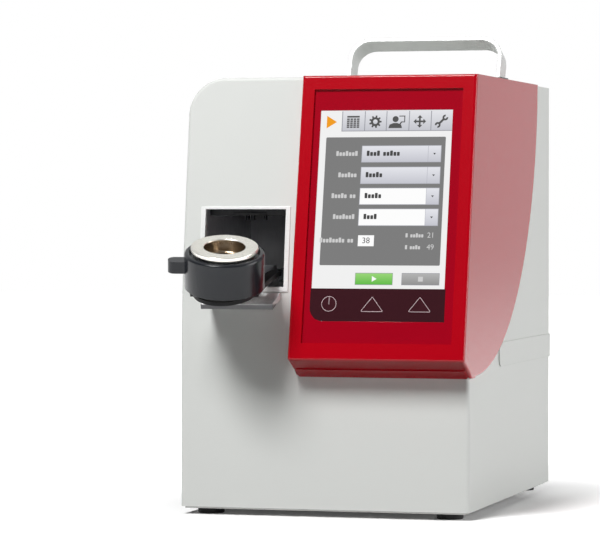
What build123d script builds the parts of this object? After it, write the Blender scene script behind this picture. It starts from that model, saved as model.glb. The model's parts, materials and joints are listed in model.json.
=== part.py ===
from build123d import *
import os
from math import asin, atan, cos, degrees, radians, sin, tan

os.makedirs("parts", exist_ok=True)

# A bench-top flash point tester. X runs to the right, Y to the back and Z up
# from the bench, in millimetres. Heights are measured from the bench, and depths
# from the lower front face of the housing, which stands at front_y.

# ---------------------------------------------------------------- housing
body_width = 222.0
body_depth = 294.0
body_top = 328.0
wall = 2.5
foot_height = 4.5
foot_radius = 10.0
foot_inset = 18.5
base_thickness = 2.0
base_reveal = 1.5          # how much of the base plate shows under the cover
edge_round = 3.0
left_shoulder_radius = 28.0
lean_start_height = 110.0  # the front is upright below this height
lean_radius = 690.0
lean_angle = 7.8
fit_gap = 0.3              # between a sheet and what it lies beside
front_reach = 60.0         # what lies nearer the front than this belongs to the front
panel_thickness = 1.5
panel_recess = 1.0
cup_reach = 81.0           # how far the cup holder stands in front of the housing
rear_reach = 4.0           # how far the rear fittings stand behind it

front_y = -(body_depth + rear_reach - cup_reach) / 2
rear_y = front_y + body_depth
left_x = -body_width / 2
right_x = body_width / 2
base_bottom = foot_height
base_top = base_bottom + base_thickness
cover_bottom = base_bottom + base_reveal
panel_back = rear_y - panel_recess
panel_front = panel_back - panel_thickness

# ------------------------------------------------------- cup and its travel
cup_inset = 48.5           # from the housing's left side to the cup's middle
cup_out_y = -45.0          # depth of the holder's base when it is drawn out
cup_out_z = 172.5
cup_in_y = 38.0            # depth of the holder under the lid
cup_tip = 20.0             # how far the holder leans over when drawn out
cup_aside = 17.0           # where it leans to, from straight ahead to the right
holder_radius = 29.5
holder_height = 27.0
holder_round = 2.0
holder_bore_radius = 19.3
holder_recess_radius = 26.0
holder_recess_depth = 3.0
tab_angle = 74.0           # from straight ahead towards the left
tab_reach = 41.5
tab_width = 11.0
tab_height = 9.0
tab_lift = 11.5
tab_root = 22.3            # where the tab begins, inside the holder's wall
tab_corner = 5.0
tab_round = 2.0
cup_flange_radius = 24.75
cup_flange_thickness = 3.0
cup_step_radius = 22.0
cup_proud = 4.2            # the flange's top over the holder's rim
cup_bore_radius = 15.15
cup_bore_depth = 10.0
sliding_gap = 0.3          # between curved faces of different bodies
cup_lift_travel = 5.7

cup_x = left_x + cup_inset
travel_radius = (cup_in_y - cup_out_y) / sin(radians(cup_tip))
travel_y = front_y + cup_in_y
travel_z = cup_out_z - travel_radius * cos(radians(cup_tip))
cup_in_z = travel_z + travel_radius
cup_body_radius = holder_bore_radius - sliding_gap
cup_floor_gap = 0.5        # the cup's underside over the holder's base
cup_top = holder_height + cup_proud


def leaning_plane(up):
    """A plane through the middle of the drawn-out holder's base."""
    base = (cup_x, front_y + cup_out_y, cup_out_z)
    return Plane(origin=base, x_dir=Vector(up.Z, 0, -up.X), z_dir=up)


# The carriage tips straight ahead, but the holder leans aside as well. It turns
# about an axis between the two, so that it stands upright once it is in.
carriage_up = Vector(0, -sin(radians(cup_tip)), cos(radians(cup_tip)))
cup_up = Vector(
    sin(radians(cup_tip)) * sin(radians(cup_aside)),
    -sin(radians(cup_tip)) * cos(radians(cup_aside)),
    cos(radians(cup_tip)),
)
half_lean = radians(cup_up.get_angle(carriage_up)) / 2
turn_rise = asin(tan(half_lean) / tan(radians(tab_angle) / 2))
turn_up = (cup_up + carriage_up).normalized() * cos(turn_rise) + cup_up.cross(
    carriage_up
).normalized() * sin(turn_rise)
seat = leaning_plane(cup_up)
turn_plane = leaning_plane(turn_up)

# ------------------------------------------------------------- the chamber
opening_width = 62.5
opening_bottom = 171.0
opening_top = 229.0
trim_side = 3.6
trim_top = 2.0
trim_proud = 0.8
trim_wall = 1.2
trim_back = 12.6           # depth where the trim ends and the liner begins
liner_wall = 1.5
liner_floor = 161.0
liner_top = 246.0
liner_back = 127.0
lid_face_gap = 0.3
lid_face = cup_in_z + cup_top + cup_lift_travel + lid_face_gap
liner_left = cup_x - opening_width / 2
liner_right = cup_x + opening_width / 2
opening_x = (liner_left, liner_right)
opening_z = (opening_bottom, opening_top)

# ------------------------------------------------------------ display hood
hood_inset = 89.7          # from the housing's left side to the hood's
cheek_proud = 1.6
hood_top_proud = 0.8
hood_wall = 2.0
hood_bottom = 118.0        # height where the sloping face ends
hood_face_y = -23.6        # depth of the face there
hood_slope = 0.2062        # depth gained for each millimetre of height
hood_chamfer_y = -5.0
hood_chamfer_z = 109.0
hood_lip_y = 1.0
hood_lip_z = 104.8
cheek_radius = 228.5
cheek_centre_y = 13.0
cheek_low_rise = 0.7       # the cheek's lowest point over the hood's lip
cheek_round = 1.2
hood_round = 2.5
hood_return = 12.0         # width of the strip that laps onto the housing's top
cheek_return = 5.0
panel_inset_left = 10.0
panel_inset_right = 10.2
panel_low = 130.6
panel_high = 318.5
panel_lap = 3.0
bezel_thickness = 2.0
screen_inset_left = 5.3
screen_inset_right = 7.6
screen_low = 171.0
screen_high = 303.0
glass_thickness = 1.6
strip_inset_left = 4.8
strip_inset_right = 6.7
strip_low = 147.0
strip_corner = 10.0
key_gap = 0.2
key_back_gap = 0.05         # between a key's flange and the bezel
key_travel = 0.5
key_flange = 1.2
key_flange_thickness = 0.6
power_key_share = 0.17     # where each key stands across the panel, of its width
power_key_radius = 5.8
power_key_height = 159.7
left_key_share = 0.458
right_key_share = 0.775
arrow_base = 18.2
arrow_low = 154.0
arrow_high = 165.5
arrow_round = 0.8

slope_angle = degrees(atan(hood_slope))
hood_left = left_x + hood_inset
hood_right = right_x + cheek_proud
hood_top = body_top + hood_top_proud
face_lean = cos(radians(slope_angle))
panel_left = hood_left + panel_inset_left
panel_right = hood_right - panel_inset_right
screen_left = panel_left + screen_inset_left
screen_right = panel_right - screen_inset_right
strip_left = panel_left + strip_inset_left
strip_right = panel_right - strip_inset_right
power_key_x, left_key_x, right_key_x = (
    panel_left + share * (panel_right - panel_left)
    for share in (power_key_share, left_key_share, right_key_share)
)
hood_face = Plane(
    origin=(0, front_y + hood_face_y, hood_bottom),
    x_dir=(1, 0, 0),
    z_dir=(0, -cos(radians(slope_angle)), sin(radians(slope_angle))),
)

# ------------------------------------------------------- handle and strip
handle_width = 122.5
handle_inset = 7.0         # from the housing's right side
handle_depth = 147.0
handle_bar = 19.0
handle_thickness = 3.2
handle_corner = 17.5
handle_edge_round = 0.5
handle_lean = 22.0
side_strip_front = 101.5
side_strip_low = 108.8
side_strip_high = 127.4
side_strip_proud = 1.0
side_strip_lap = 1.0

# ---------------------------------------------------------------- main housing
window_margin = 4.0

# ------------------------------------------------ what the hood's face carries
frame_depth = 7.5
frame_back = 1.5
frame_margin = 1.0
module_side = 4.0          # how far the screen module reaches past its picture
module_foot = 2.0
module_head = 6.0
pad_depth = 2.5
pad_side = 2.0
pad_foot = 4.0
pad_head = 1.0
board_gap = 2.0
board_thickness = 1.6
boss_radius = 3.0
boss_inset = 8.0
chip_size = 14.0
chip_height = 3.0
chip_length = 20.0
chip_pitch = 34.0
board_border = 5.0

# ------------------------------------------------------ carry handle and strip
mount_height = 3.0
mount_length = 24.0
mount_width = 7.0
handle_top = 363.3
strip_bend = 6.0

# --------------------------------------------------------- opening and chamber
ledge_width = 55.8
ledge_aside = 1.5          # from the cup towards the right
ledge_reach = 20.5
ledge_edge_top = 158.9
ledge_edge_low = 154.8
ledge_root_low = 166.3
ledge_edge_slant = 1.0
stem_radius = 8.0
stem_gap = 0.5
seat_hole_radius = 16.5
seat_thickness = 3.0
prong_inner_x = 17.0
prong_outer_x = 26.0
prong_top = 3.2            # below the holder's base, measured along the radius
prong_bottom = 6.7
rail_inner_x = 24.2
rail_top = 2.0
rail_bottom = 10.2
prong_rear_angle = -0.6
stir_radius = 1.5
stir_length = 12.0
stir_end_round = 1.3

# ----------------------------------------------------------- lid and its parts
lid_front = 19.0
lid_rear = 98.0
lid_flange = 4.0
lid_flange_lap = 5.0
seal_inner = 20.0
seal_outer = 23.5
seal_depth = 2.0
probe_hole_radius = 1.6
probe_radius = 1.5
probe_drop = 3.5           # how far a probe reaches below the lid's face
electrode_offset = 7.0
thermocouple_offset = 9.0
probe_cap_radius = 3.2
probe_cap_height = 3.2
cooler_depth = 61.0
cooler_size = 30.0
cooler_height = 3.8
sink_depth = 54.0
sink_size = 60.0
sink_base = 5.0
fin_height = 22.0
fin_thickness = 1.5
fin_count = 9
fan_height = 15.0
fan_corner = 4.0
fan_strut = 3.0
fan_running_gap = 0.5
fan_blade_count = 7
fan_blade_thickness = 1.2
fan_blade_pitch = 35
sink_fan_bore = 27.0
sink_fan_hub = 11.0

# ------------------------------------------------------ lift and stirrer drive
motor_size = 42.0
motor_height = 40.0
motor_corner = 4.0
lead_screw_radius = 4.0
screw_top = 140.0
plate_thickness = 4.0
rod_radius = 3.0
rod_spacing = 20.0
lift_frame_width = 58.0
bracket_low = 90.0
bracket_height = 8.0
bracket_width = 54.0
bracket_depth = 22.0
nut_radius = 7.0
nut_flange_radius = 9.5
nut_flange = 3.0
running_gap = 0.05
pusher_radius = 15.0
pusher_height = 8.0
pusher_face = 1.0          # thickness over the magnet's cavity
pusher_gap = 0.5           # below the holder's base when it slides over
stem_bore = 6.5
magnet_radius = 10.0
magnet_height = 3.0
magnet_cavity = 12.0
cavity_height = 5.0
stir_motor_radius = 6.2
stir_motor_height = 18.0
stir_motor_gap = 3.0
stir_shaft_radius = 1.0
lift_back_gap = 4.0

# ----------------------------------------------------------------- electronics
divider_inset = 91.0       # from the housing's left side
divider_front = 90.0
divider_thickness = 2.0
divider_top = 300.0
divider_foot = 14.0
standoff_radius = 3.0
standoff_height = 6.0
standoff_inset = 6.0
board_front = 100.0
board_rear = 250.0
board_low = 120.0
board_high = 285.0
supply_gap = 22.0          # from the divider to the power supply
supply_inset = 14.0        # from the housing's right side
supply_front = 110.0
supply_rear = 250.0
supply_height = 42.0
vent_pitch = 12.0
vent_slots = 6
vent_slot_length = 60.0
vent_slot_width = 4.0
vent_slot_depth = 3.0
igniter_front = 150.0
igniter_rear = 205.0
igniter_low = 100.0
igniter_high = 160.0
igniter_depth = 28.0
igniter_round = 3.0
pump_radius = 14.0
pump_offset = 20.0
pump_front = 172.0
pump_rear = 228.0
pump_head_length = 38.0
pump_outlet_run = 32.0
pump_head = 34.0
pump_collar = 2.0
pump_outlet_radius = 2.5
pump_outlet_height = 9.0
tube_radius = 2.5
tube_bend = 28.0
valve_size = 12.0
sensor_size = 10.0
sensor_offset = 12.0

# ------------------------------------------------------------------ rear panel
rear_fan_inset = 47.0      # from the housing's left side
rear_fan_z = 235.0
rear_fan_size = 80.0
rear_fan_depth = 25.0
rear_fan_bore = 37.5
rear_fan_hub = 18.0
guard_wire = 1.5
guard_inner = 14.0
guard_middle = 24.0
guard_outer = 34.0
guard_spoke = 38.0
guard_spoke_middle = 27.0
inlet_gap = 45.0           # from the switch's middle to the inlet's middle
inlet_z = 45.0
inlet_width = 28.0
inlet_height = 24.0
inlet_depth = 22.0
bezel_lap = 3.0
bezel_proud = 2.0
socket_wall = 2.0
inlet_hollow = 16.0
port_hollow = 12.0
switch_hollow = 15.0
pin_spread = 7.0
pin_drop = 3.0
pin_rise = 4.0
pin_width = 2.0
pin_length = 12.0
pin_height = 4.0
tongue_thickness = 2.0
switch_gap = 30.0          # from the divider to the switch's middle
switch_width = 21.0
switch_height = 24.0
switch_depth = 18.0
rocker_pivot_depth = 4.0
rocker_pin = 1.5
rocker_tilt = 6.0
rocker_tail = 5.0
rocker_waist = 4.0
rocker_edge = 6.0
rocker_lip = 1.2
rocker_dip = 5.0
rocker_tip = 9.0
port_z = 110.0
usb_inset = 81.0           # from the housing's right side
usb_width = 15.0
usb_height = 16.0
network_inset = 49.0
network_width = 16.0
network_height = 14.0
port_depth = 18.0
vent_inset = 61.0          # from the housing's left side
vent_z = 70.0
vent_radius = 4.0
screw_head = 3.2
screw_head_thickness = 1.8
screw_inset = 14.0
screw_drop = 40.0
vent_bore = 2.0
vent_inside = 10.0

# ---------------------------------------------------------------- helpers


def front_depth(height, inset=0.0):
    """Y of the housing's front at a height, with the wall's inset added."""
    bend_top = lean_start_height + lean_radius * sin(radians(lean_angle))
    if height <= lean_start_height:
        return front_y + inset
    if height <= bend_top:
        bend = asin((height - lean_start_height) / lean_radius)
        return front_y + lean_radius * (1 - cos(bend)) + inset
    bend_y = lean_radius * (1 - cos(radians(lean_angle)))
    return front_y + bend_y + (height - bend_top) * tan(radians(lean_angle)) + inset


def housing_block(inset, bottom, back):
    """The housing's outline as one solid, shrunk on every closed side."""
    bend = radians(lean_angle)
    radius = lean_radius - inset
    centre_y = front_y + lean_radius
    top = body_top - inset
    start = (front_y + inset, lean_start_height)
    middle = (
        centre_y - radius * cos(bend / 2),
        lean_start_height + radius * sin(bend / 2),
    )
    end = (
        centre_y - radius * cos(bend),
        lean_start_height + radius * sin(bend),
    )
    crown = (end[0] + (top - end[1]) * tan(bend), top)
    with BuildPart() as block:
        with BuildSketch(Plane.YZ.offset(left_x + inset)):
            with BuildLine():
                Line((front_y + inset, bottom), start)
                ThreePointArc(start, middle, end)
                Polyline(end, crown, (back, top), (back, bottom))
                Line((back, bottom), (front_y + inset, bottom))
            make_face()
        extrude(amount=body_width - 2 * inset)
        along = block.edges().filter_by(Axis.Y).group_by(Axis.Z)[-1]
        fillet(along.sort_by(Axis.X)[0], left_shoulder_radius - inset)
    return block.part


def box_between(x, y, z, mode=Mode.ADD):
    """A box between two values along each axis."""
    with Locations(((x[0] + x[1]) / 2, (y[0] + y[1]) / 2, (z[0] + z[1]) / 2)):
        Box(x[1] - x[0], y[1] - y[0], z[1] - z[0], mode=mode)


def upright(x, y, low, high, radius, mode=Mode.ADD):
    """A round bar or hole standing along Z."""
    with Locations((x, y, (low + high) / 2)):
        Cylinder(radius, high - low, mode=mode)


def depthwise(x, z, near, far, radius, mode=Mode.ADD):
    """A round bar or hole lying along Y."""
    with Locations(Location((x, (near + far) / 2, z), (90, 0, 0))):
        Cylinder(radius, far - near, mode=mode)


def crosswise(y, z, near, far, radius, mode=Mode.ADD):
    """A round bar or hole lying along X."""
    with Locations(Location(((near + far) / 2, y, z), (0, 90, 0))):
        Cylinder(radius, far - near, mode=mode)


def up_face(height):
    """Distance up the hood's face, from its lower edge, to a height."""
    return (height - hood_bottom) / face_lean


def face_rectangle(left, right, low, high, margin=0.0):
    """A rectangle on the hood's face, given by its sides and heights."""
    bottom, top = up_face(low) - margin, up_face(high) + margin
    with Locations(((left + right) / 2, (bottom + top) / 2)):
        Rectangle(right - left + 2 * margin, top - bottom)


def travel_point(radius, angle):
    """Y and Z of a point on the cup's curved path, by its angle from upright."""
    turn = radians(angle)
    return (travel_y - radius * sin(turn), travel_z + radius * cos(turn))


def travel_angle(depth, radius):
    """The angle on the path where it passes a depth behind the front."""
    return degrees(asin((travel_y - front_y - depth) / radius))


def curved_bar(x, inner, outer, front, back):
    """The side view, at one X, of a bar that follows the cup's path."""
    middle = (front + back) / 2
    with BuildSketch(Plane.YZ.offset(x)) as bar:
        with BuildLine():
            ThreePointArc(
                travel_point(outer, front),
                travel_point(outer, middle),
                travel_point(outer, back),
            )
            Line(travel_point(outer, back), travel_point(inner, back))
            ThreePointArc(
                travel_point(inner, back),
                travel_point(inner, middle),
                travel_point(inner, front),
            )
            Line(travel_point(inner, front), travel_point(outer, front))
        make_face()
    return bar.sketch


def save(piece, name):
    """Label a finished piece and write it."""
    piece.part.label = name
    export_step(piece.part, f"parts/{name}.step")


# ------------------------------------------------------------ main housing
housing_outside = housing_block(0.0, cover_bottom, rear_y)
housing_inside = housing_block(wall, cover_bottom - wall, rear_y + wall)
housing_lining = housing_block(wall + fit_gap, cover_bottom - wall, rear_y + wall)

# The window behind the hood, which its electronics reach through.
window_x = (panel_left - window_margin, panel_right + window_margin)
window_z = (panel_low - window_margin, panel_high + window_margin)
handle_y = front_y + handle_depth

with BuildPart() as housing_cover:
    add(housing_outside)
    front_edges = [
        edge
        for edge in housing_cover.edges()
        if edge.center().Y < front_y + front_reach
        and (abs(edge.center().X) > body_width / 4 or edge.center().Z > body_top - wall)
        and edge.center().Z > cover_bottom + wall
    ]
    fillet(front_edges, edge_round)
    add(housing_inside, mode=Mode.SUBTRACT)
    box_between(
        (liner_left - trim_wall, liner_right + trim_wall),
        (front_y - 1, front_y + front_reach / 2),
        (opening_bottom - trim_wall, opening_top + trim_wall),
        mode=Mode.SUBTRACT,
    )
    box_between(
        window_x, (front_y - 1, front_y + front_reach / 2), window_z, mode=Mode.SUBTRACT
    )
save(housing_cover, "housing_cover")

with BuildPart() as base_plate:
    box_between(
        (left_x + wall + fit_gap, right_x - wall - fit_gap),
        (front_y + wall + fit_gap, panel_front),
        (base_bottom, base_top),
    )
save(base_plate, "base_plate")

with BuildPart() as feet:
    for x in (left_x + foot_inset, right_x - foot_inset):
        for y in (front_y + foot_inset, rear_y - foot_inset):
            upright(x, y, 0, foot_height, foot_radius)
    chamfer(feet.edges().group_by(Axis.Z)[0], 1.0)
save(feet, "feet")

# ------------------------------------------------------------------- hood
arc_low = (front_y + cheek_centre_y, hood_lip_z + cheek_low_rise)
arc_centre_z = arc_low[1] + cheek_radius
hood_rear_y = arc_low[0] + cheek_radius + wall


def cheek_point(angle):
    """A point on the cheek's curved lower edge."""
    turn = radians(angle)
    return (
        arc_low[0] + cheek_radius * sin(turn),
        arc_centre_z - cheek_radius * cos(turn),
    )


cheek_end = 90 - degrees(asin((arc_centre_z - hood_top) / cheek_radius))
face_foot = (front_y + hood_face_y, hood_bottom)
face_head = (front_y + hood_face_y + (hood_top - hood_bottom) * hood_slope, hood_top)
chamfer_foot = (front_y + hood_chamfer_y, hood_chamfer_z)
lip_foot = (front_y + hood_lip_y, hood_lip_z)

with BuildPart() as hood_outside:
    with BuildSketch(Plane.YZ.offset(hood_left)):
        with BuildLine():
            Polyline(
                face_head,
                face_foot,
                chamfer_foot,
                lip_foot,
                (hood_rear_y, hood_lip_z),
                (hood_rear_y, hood_top),
                face_head,
            )
        make_face()
    extrude(amount=hood_right - hood_left)
    face_edges = [
        edge
        for edge in hood_outside.edges()
        if edge.center().Y < front_y + cheek_centre_y
    ]
    fillet(face_edges, hood_round)
with BuildPart() as hood_reach:
    with BuildSketch(Plane.YZ.offset(hood_left)):
        with BuildLine():
            Polyline(
                (front_y - front_reach, hood_top),
                (front_y - front_reach, hood_lip_z),
                (arc_low[0], hood_lip_z),
                arc_low,
            )
            ThreePointArc(arc_low, cheek_point(cheek_end / 2), cheek_point(cheek_end))
            Line(cheek_point(cheek_end), (front_y - front_reach, hood_top))
        make_face()
    extrude(amount=hood_right - hood_left)

hollow_top = body_top - hood_wall
hollow_y = hood_wall / face_lean
hollow_floor = hood_chamfer_z + hood_wall / face_lean
crown_y = front_depth(body_top)

with BuildPart() as display_hood:
    add(hood_outside.part)
    add(hood_reach.part, mode=Mode.INTERSECT)
    add(housing_outside, mode=Mode.SUBTRACT)
    box_between(
        (hood_left - 1, right_x - cheek_return),
        (crown_y + hood_return, hood_rear_y + body_depth),
        (body_top, hood_top + 1),
        mode=Mode.SUBTRACT,
    )
    with BuildSketch(Plane.YZ.offset(hood_left + hood_wall)):
        with BuildLine():
            Polyline(
                (face_head[0] + hollow_y - hood_slope * (hood_top - hollow_top), hollow_top),
                (face_foot[0] + hollow_y, face_foot[1]),
                (chamfer_foot[0], hollow_floor),
                (front_y + front_reach, hollow_floor),
                (front_y + front_reach, hollow_top),
                (face_head[0] + hollow_y - hood_slope * (hood_top - hollow_top), hollow_top),
            )
        make_face()
    extrude(amount=right_x - hood_left - hood_wall, mode=Mode.SUBTRACT)
    with BuildSketch(hood_face):
        face_rectangle(panel_left, panel_right, panel_low, panel_high)
    extrude(amount=-2 * hood_wall, mode=Mode.SUBTRACT)
    cheek_rim = [
        edge
        for edge in display_hood.edges().filter_by(GeomType.CIRCLE)
        if edge.center().X > hood_right - fit_gap and edge.length > cheek_radius
    ]
    fillet(cheek_rim, cheek_round)
save(display_hood, "display_hood")

# ------------------------------------------- what the hood's face carries
bezel_face = hood_face.offset(-hood_wall)
bezel_rear = bezel_face.offset(-bezel_thickness)
module_depth = frame_depth - frame_back
module_low = screen_low - module_foot
module_high = screen_high + module_head
pad_gap = key_travel + key_flange_thickness + 2 * key_back_gap
pad_left = strip_left + pad_side
pad_right = strip_right - pad_side
pad_low = strip_low + pad_foot
pad_high = module_low - pad_head


def round_key(plane, grow):
    """The power key's outline on a plane of the hood's face."""
    with BuildSketch(plane) as outline:
        with Locations((power_key_x, up_face(power_key_height))):
            Circle(power_key_radius + grow)
    return outline.sketch


def arrow_key(plane, x, grow):
    """An arrow key's outline on a plane of the hood's face."""
    low, high = up_face(arrow_low), up_face(arrow_high)
    with BuildSketch(plane) as outline:
        with BuildLine():
            Polyline(
                (x - arrow_base / 2, low),
                (x + arrow_base / 2, low),
                (x, high),
                (x - arrow_base / 2, low),
            )
        make_face()
        fillet(outline.vertices(), arrow_round)
        if grow > 0:
            offset(amount=grow)
    return outline.sketch


with BuildPart() as display_bezel:
    with BuildSketch(bezel_face):
        face_rectangle(panel_left, panel_right, panel_low, panel_high, panel_lap)
    extrude(amount=-bezel_thickness)
    with BuildSketch(bezel_face):
        face_rectangle(screen_left, screen_right, screen_low, screen_high)
    extrude(amount=-bezel_thickness, mode=Mode.SUBTRACT)
    with BuildSketch(bezel_face) as strip_cut:
        face_rectangle(strip_left, strip_right, strip_low, screen_low)
        fillet(
            strip_cut.vertices().group_by(Axis.X)[0].sort_by(Axis.Y)[0], strip_corner
        )
    extrude(amount=-bezel_thickness, mode=Mode.SUBTRACT)
save(display_bezel, "display_bezel")

with BuildPart() as key_strip:
    with BuildSketch(bezel_face) as strip_face:
        face_rectangle(strip_left, strip_right, strip_low, screen_low)
        fillet(
            strip_face.vertices().group_by(Axis.X)[0].sort_by(Axis.Y)[0], strip_corner
        )
    extrude(amount=-bezel_thickness)
    extrude(
        round_key(bezel_face, key_gap), amount=-bezel_thickness, mode=Mode.SUBTRACT
    )
    for x in (left_key_x, right_key_x):
        extrude(
            arrow_key(bezel_face, x, key_gap),
            amount=-bezel_thickness,
            mode=Mode.SUBTRACT,
        )
save(key_strip, "key_strip")

flange_face = bezel_rear.offset(-key_back_gap)
cap_height = bezel_thickness + key_back_gap
with BuildPart() as power_key:
    extrude(round_key(flange_face, 0.0), amount=cap_height)
    extrude(round_key(flange_face, key_flange), amount=-key_flange_thickness)
save(power_key, "power_key")

with BuildPart() as left_arrow_key:
    extrude(arrow_key(flange_face, left_key_x, 0.0), amount=cap_height)
    extrude(
        arrow_key(flange_face, left_key_x, key_flange), amount=-key_flange_thickness
    )
save(left_arrow_key, "left_arrow_key")

with BuildPart() as right_arrow_key:
    extrude(arrow_key(flange_face, right_key_x, 0.0), amount=cap_height)
    extrude(
        arrow_key(flange_face, right_key_x, key_flange), amount=-key_flange_thickness
    )
save(right_arrow_key, "right_arrow_key")

with BuildPart() as touch_glass:
    with BuildSketch(bezel_rear):
        face_rectangle(
            screen_left + fit_gap / 2,
            screen_right - fit_gap / 2,
            screen_low + fit_gap / 2,
            screen_high - fit_gap / 2,
        )
    extrude(amount=glass_thickness)
save(touch_glass, "touch_glass")

with BuildPart() as screen_module:
    with BuildSketch(bezel_rear):
        face_rectangle(
            screen_left - module_side,
            screen_right + module_side,
            module_low,
            module_high,
        )
    extrude(amount=-module_depth)
save(screen_module, "screen_module")

with BuildPart() as key_pad:
    with BuildSketch(bezel_rear.offset(-key_back_gap - pad_gap)):
        face_rectangle(pad_left, pad_right, pad_low, pad_high)
    extrude(amount=-(pad_depth - pad_gap - key_back_gap))
save(key_pad, "key_pad")

boss_x = (screen_left + boss_inset, screen_right - boss_inset)
boss_z = (screen_low + boss_inset, screen_high - boss_inset)
with BuildPart() as display_frame:
    with BuildSketch(bezel_rear):
        face_rectangle(panel_left, panel_right, panel_low, panel_high, frame_margin)
    extrude(amount=-frame_depth)
    with BuildSketch(bezel_rear):
        face_rectangle(
            screen_left - module_side - fit_gap,
            screen_right + module_side + fit_gap,
            module_low - fit_gap,
            module_high + fit_gap,
        )
    extrude(amount=-module_depth, mode=Mode.SUBTRACT)
    with BuildSketch(bezel_rear):
        face_rectangle(
            pad_left - fit_gap, pad_right + fit_gap, pad_low - fit_gap, pad_high
        )
    extrude(amount=-pad_depth, mode=Mode.SUBTRACT)
    with BuildSketch(bezel_rear.offset(-frame_depth)):
        with Locations([(x, up_face(z)) for x in boss_x for z in boss_z]):
            Circle(boss_radius)
    extrude(amount=-board_gap)
save(display_frame, "display_frame")

with BuildPart() as display_board:
    with BuildSketch(bezel_rear.offset(-frame_depth - board_gap)):
        face_rectangle(boss_x[0], boss_x[1], boss_z[0], boss_z[1], board_border)
    extrude(amount=-board_thickness)
    with BuildSketch(bezel_rear.offset(-frame_depth - board_gap - board_thickness)):
        with Locations((sum(boss_x) / 2, up_face(sum(boss_z) / 2))):
            with GridLocations(chip_pitch, chip_pitch, 2, 3):
                Rectangle(chip_size, chip_size)
    extrude(amount=-chip_height)
save(display_board, "display_board")

# -------------------------------------------------- carry handle and strip
handle_centre_x = right_x - handle_inset - handle_width / 2
handle_plane = Plane(
    origin=(handle_centre_x, front_y + handle_depth, body_top + mount_height),
    x_dir=(1, 0, 0),
    z_dir=(0, -cos(radians(handle_lean)), sin(radians(handle_lean))),
)
lean_drop = handle_bar / 2 * sin(radians(handle_lean))
leg_length = (handle_top - body_top - mount_height - lean_drop) / cos(
    radians(handle_lean)
)
leg_x = [
    handle_centre_x + side * (handle_width - handle_thickness) / 2 for side in (-1, 1)
]
with BuildPart() as carry_handle:
    with BuildSketch(handle_plane):
        with Locations((0, leg_length - handle_width / 2)):
            RectangleRounded(handle_width, handle_width, handle_corner)
            RectangleRounded(
                handle_width - 2 * handle_thickness,
                handle_width - 2 * handle_thickness,
                handle_corner - handle_thickness,
                mode=Mode.SUBTRACT,
            )
    extrude(amount=handle_bar / 2, both=True)
    box_between(
        (left_x, right_x + handle_width),
        (front_y, rear_y),
        (body_top - handle_width, body_top + mount_height),
        mode=Mode.SUBTRACT,
    )
    long_edges = [
        edge
        for edge in carry_handle.edges()
        if edge.center().Z > body_top + mount_height + handle_edge_round
        and abs(edge.tangent_at(0.5).dot(handle_plane.z_dir)) < 0.1
    ]
    fillet(long_edges, handle_edge_round)
save(carry_handle, "carry_handle")

with BuildPart() as handle_mounts:
    for x in leg_x:
        box_between(
            (x - mount_width / 2, x + mount_width / 2),
            (handle_y - mount_length / 2, handle_y + mount_length / 2),
            (body_top, body_top + mount_height),
        )
save(handle_mounts, "handle_mounts")

with BuildPart() as side_strip:
    with BuildSketch(Plane.YZ.offset(right_x)):
        with BuildLine():
            Polyline(
                (front_y + side_strip_front, side_strip_low + strip_bend),
                (front_y + side_strip_front, side_strip_high),
                (rear_y + side_strip_lap, side_strip_high),
                (rear_y + side_strip_lap, side_strip_low),
                (front_y + side_strip_front + strip_bend, side_strip_low),
            )
            RadiusArc(
                (front_y + side_strip_front + strip_bend, side_strip_low),
                (front_y + side_strip_front, side_strip_low + strip_bend),
                strip_bend,
            )
        make_face()
    extrude(amount=side_strip_proud)
    crosswise(
        arc_low[0],
        arc_centre_z,
        right_x - 1,
        right_x + 2 * side_strip_proud,
        cheek_radius + 1.0,
        mode=Mode.SUBTRACT,
    )
    box_between(
        (right_x - wall, right_x + side_strip_proud),
        (rear_y, rear_y + side_strip_lap),
        (side_strip_low, side_strip_high),
    )
save(side_strip, "side_strip")

# --------------------------------------------------- opening and chamber
trim_outline = housing_block(-trim_proud, cover_bottom, rear_y)
trim_left, trim_right = liner_left - trim_side, liner_right + trim_side
trim_low, trim_high = opening_bottom - trim_side, opening_top + trim_top
trim_rear_y = front_y + trim_back
with BuildPart() as opening_trim:
    box_between(
        (trim_left, trim_right), (front_y - wall, trim_rear_y), (trim_low, trim_high)
    )
    add(trim_outline, mode=Mode.INTERSECT)
    add(housing_outside, mode=Mode.SUBTRACT)
    box_between(
        (liner_left - trim_wall, liner_right + trim_wall),
        (front_depth(opening_bottom, -trim_proud), trim_rear_y),
        (opening_bottom - trim_wall, opening_top + trim_wall),
    )
    box_between(
        opening_x, (front_y - wall, trim_rear_y + 1), opening_z, mode=Mode.SUBTRACT
    )
    add(trim_outline, mode=Mode.INTERSECT)
save(opening_trim, "opening_trim")

ledge_x = cup_x + ledge_aside
with BuildPart() as loading_ledge:
    with BuildSketch(Plane.YZ.offset(ledge_x - ledge_width / 2)):
        with BuildLine():
            Polyline(
                (front_y + trim_back, opening_bottom),
                (front_y - ledge_reach, ledge_edge_top),
                (front_y - ledge_reach + ledge_edge_slant, ledge_edge_low),
                (front_y + trim_back, ledge_root_low),
                (front_y + trim_back, opening_bottom),
            )
        make_face()
    extrude(amount=ledge_width)
    add(trim_outline, mode=Mode.SUBTRACT)
save(loading_ledge, "loading_ledge")

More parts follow.
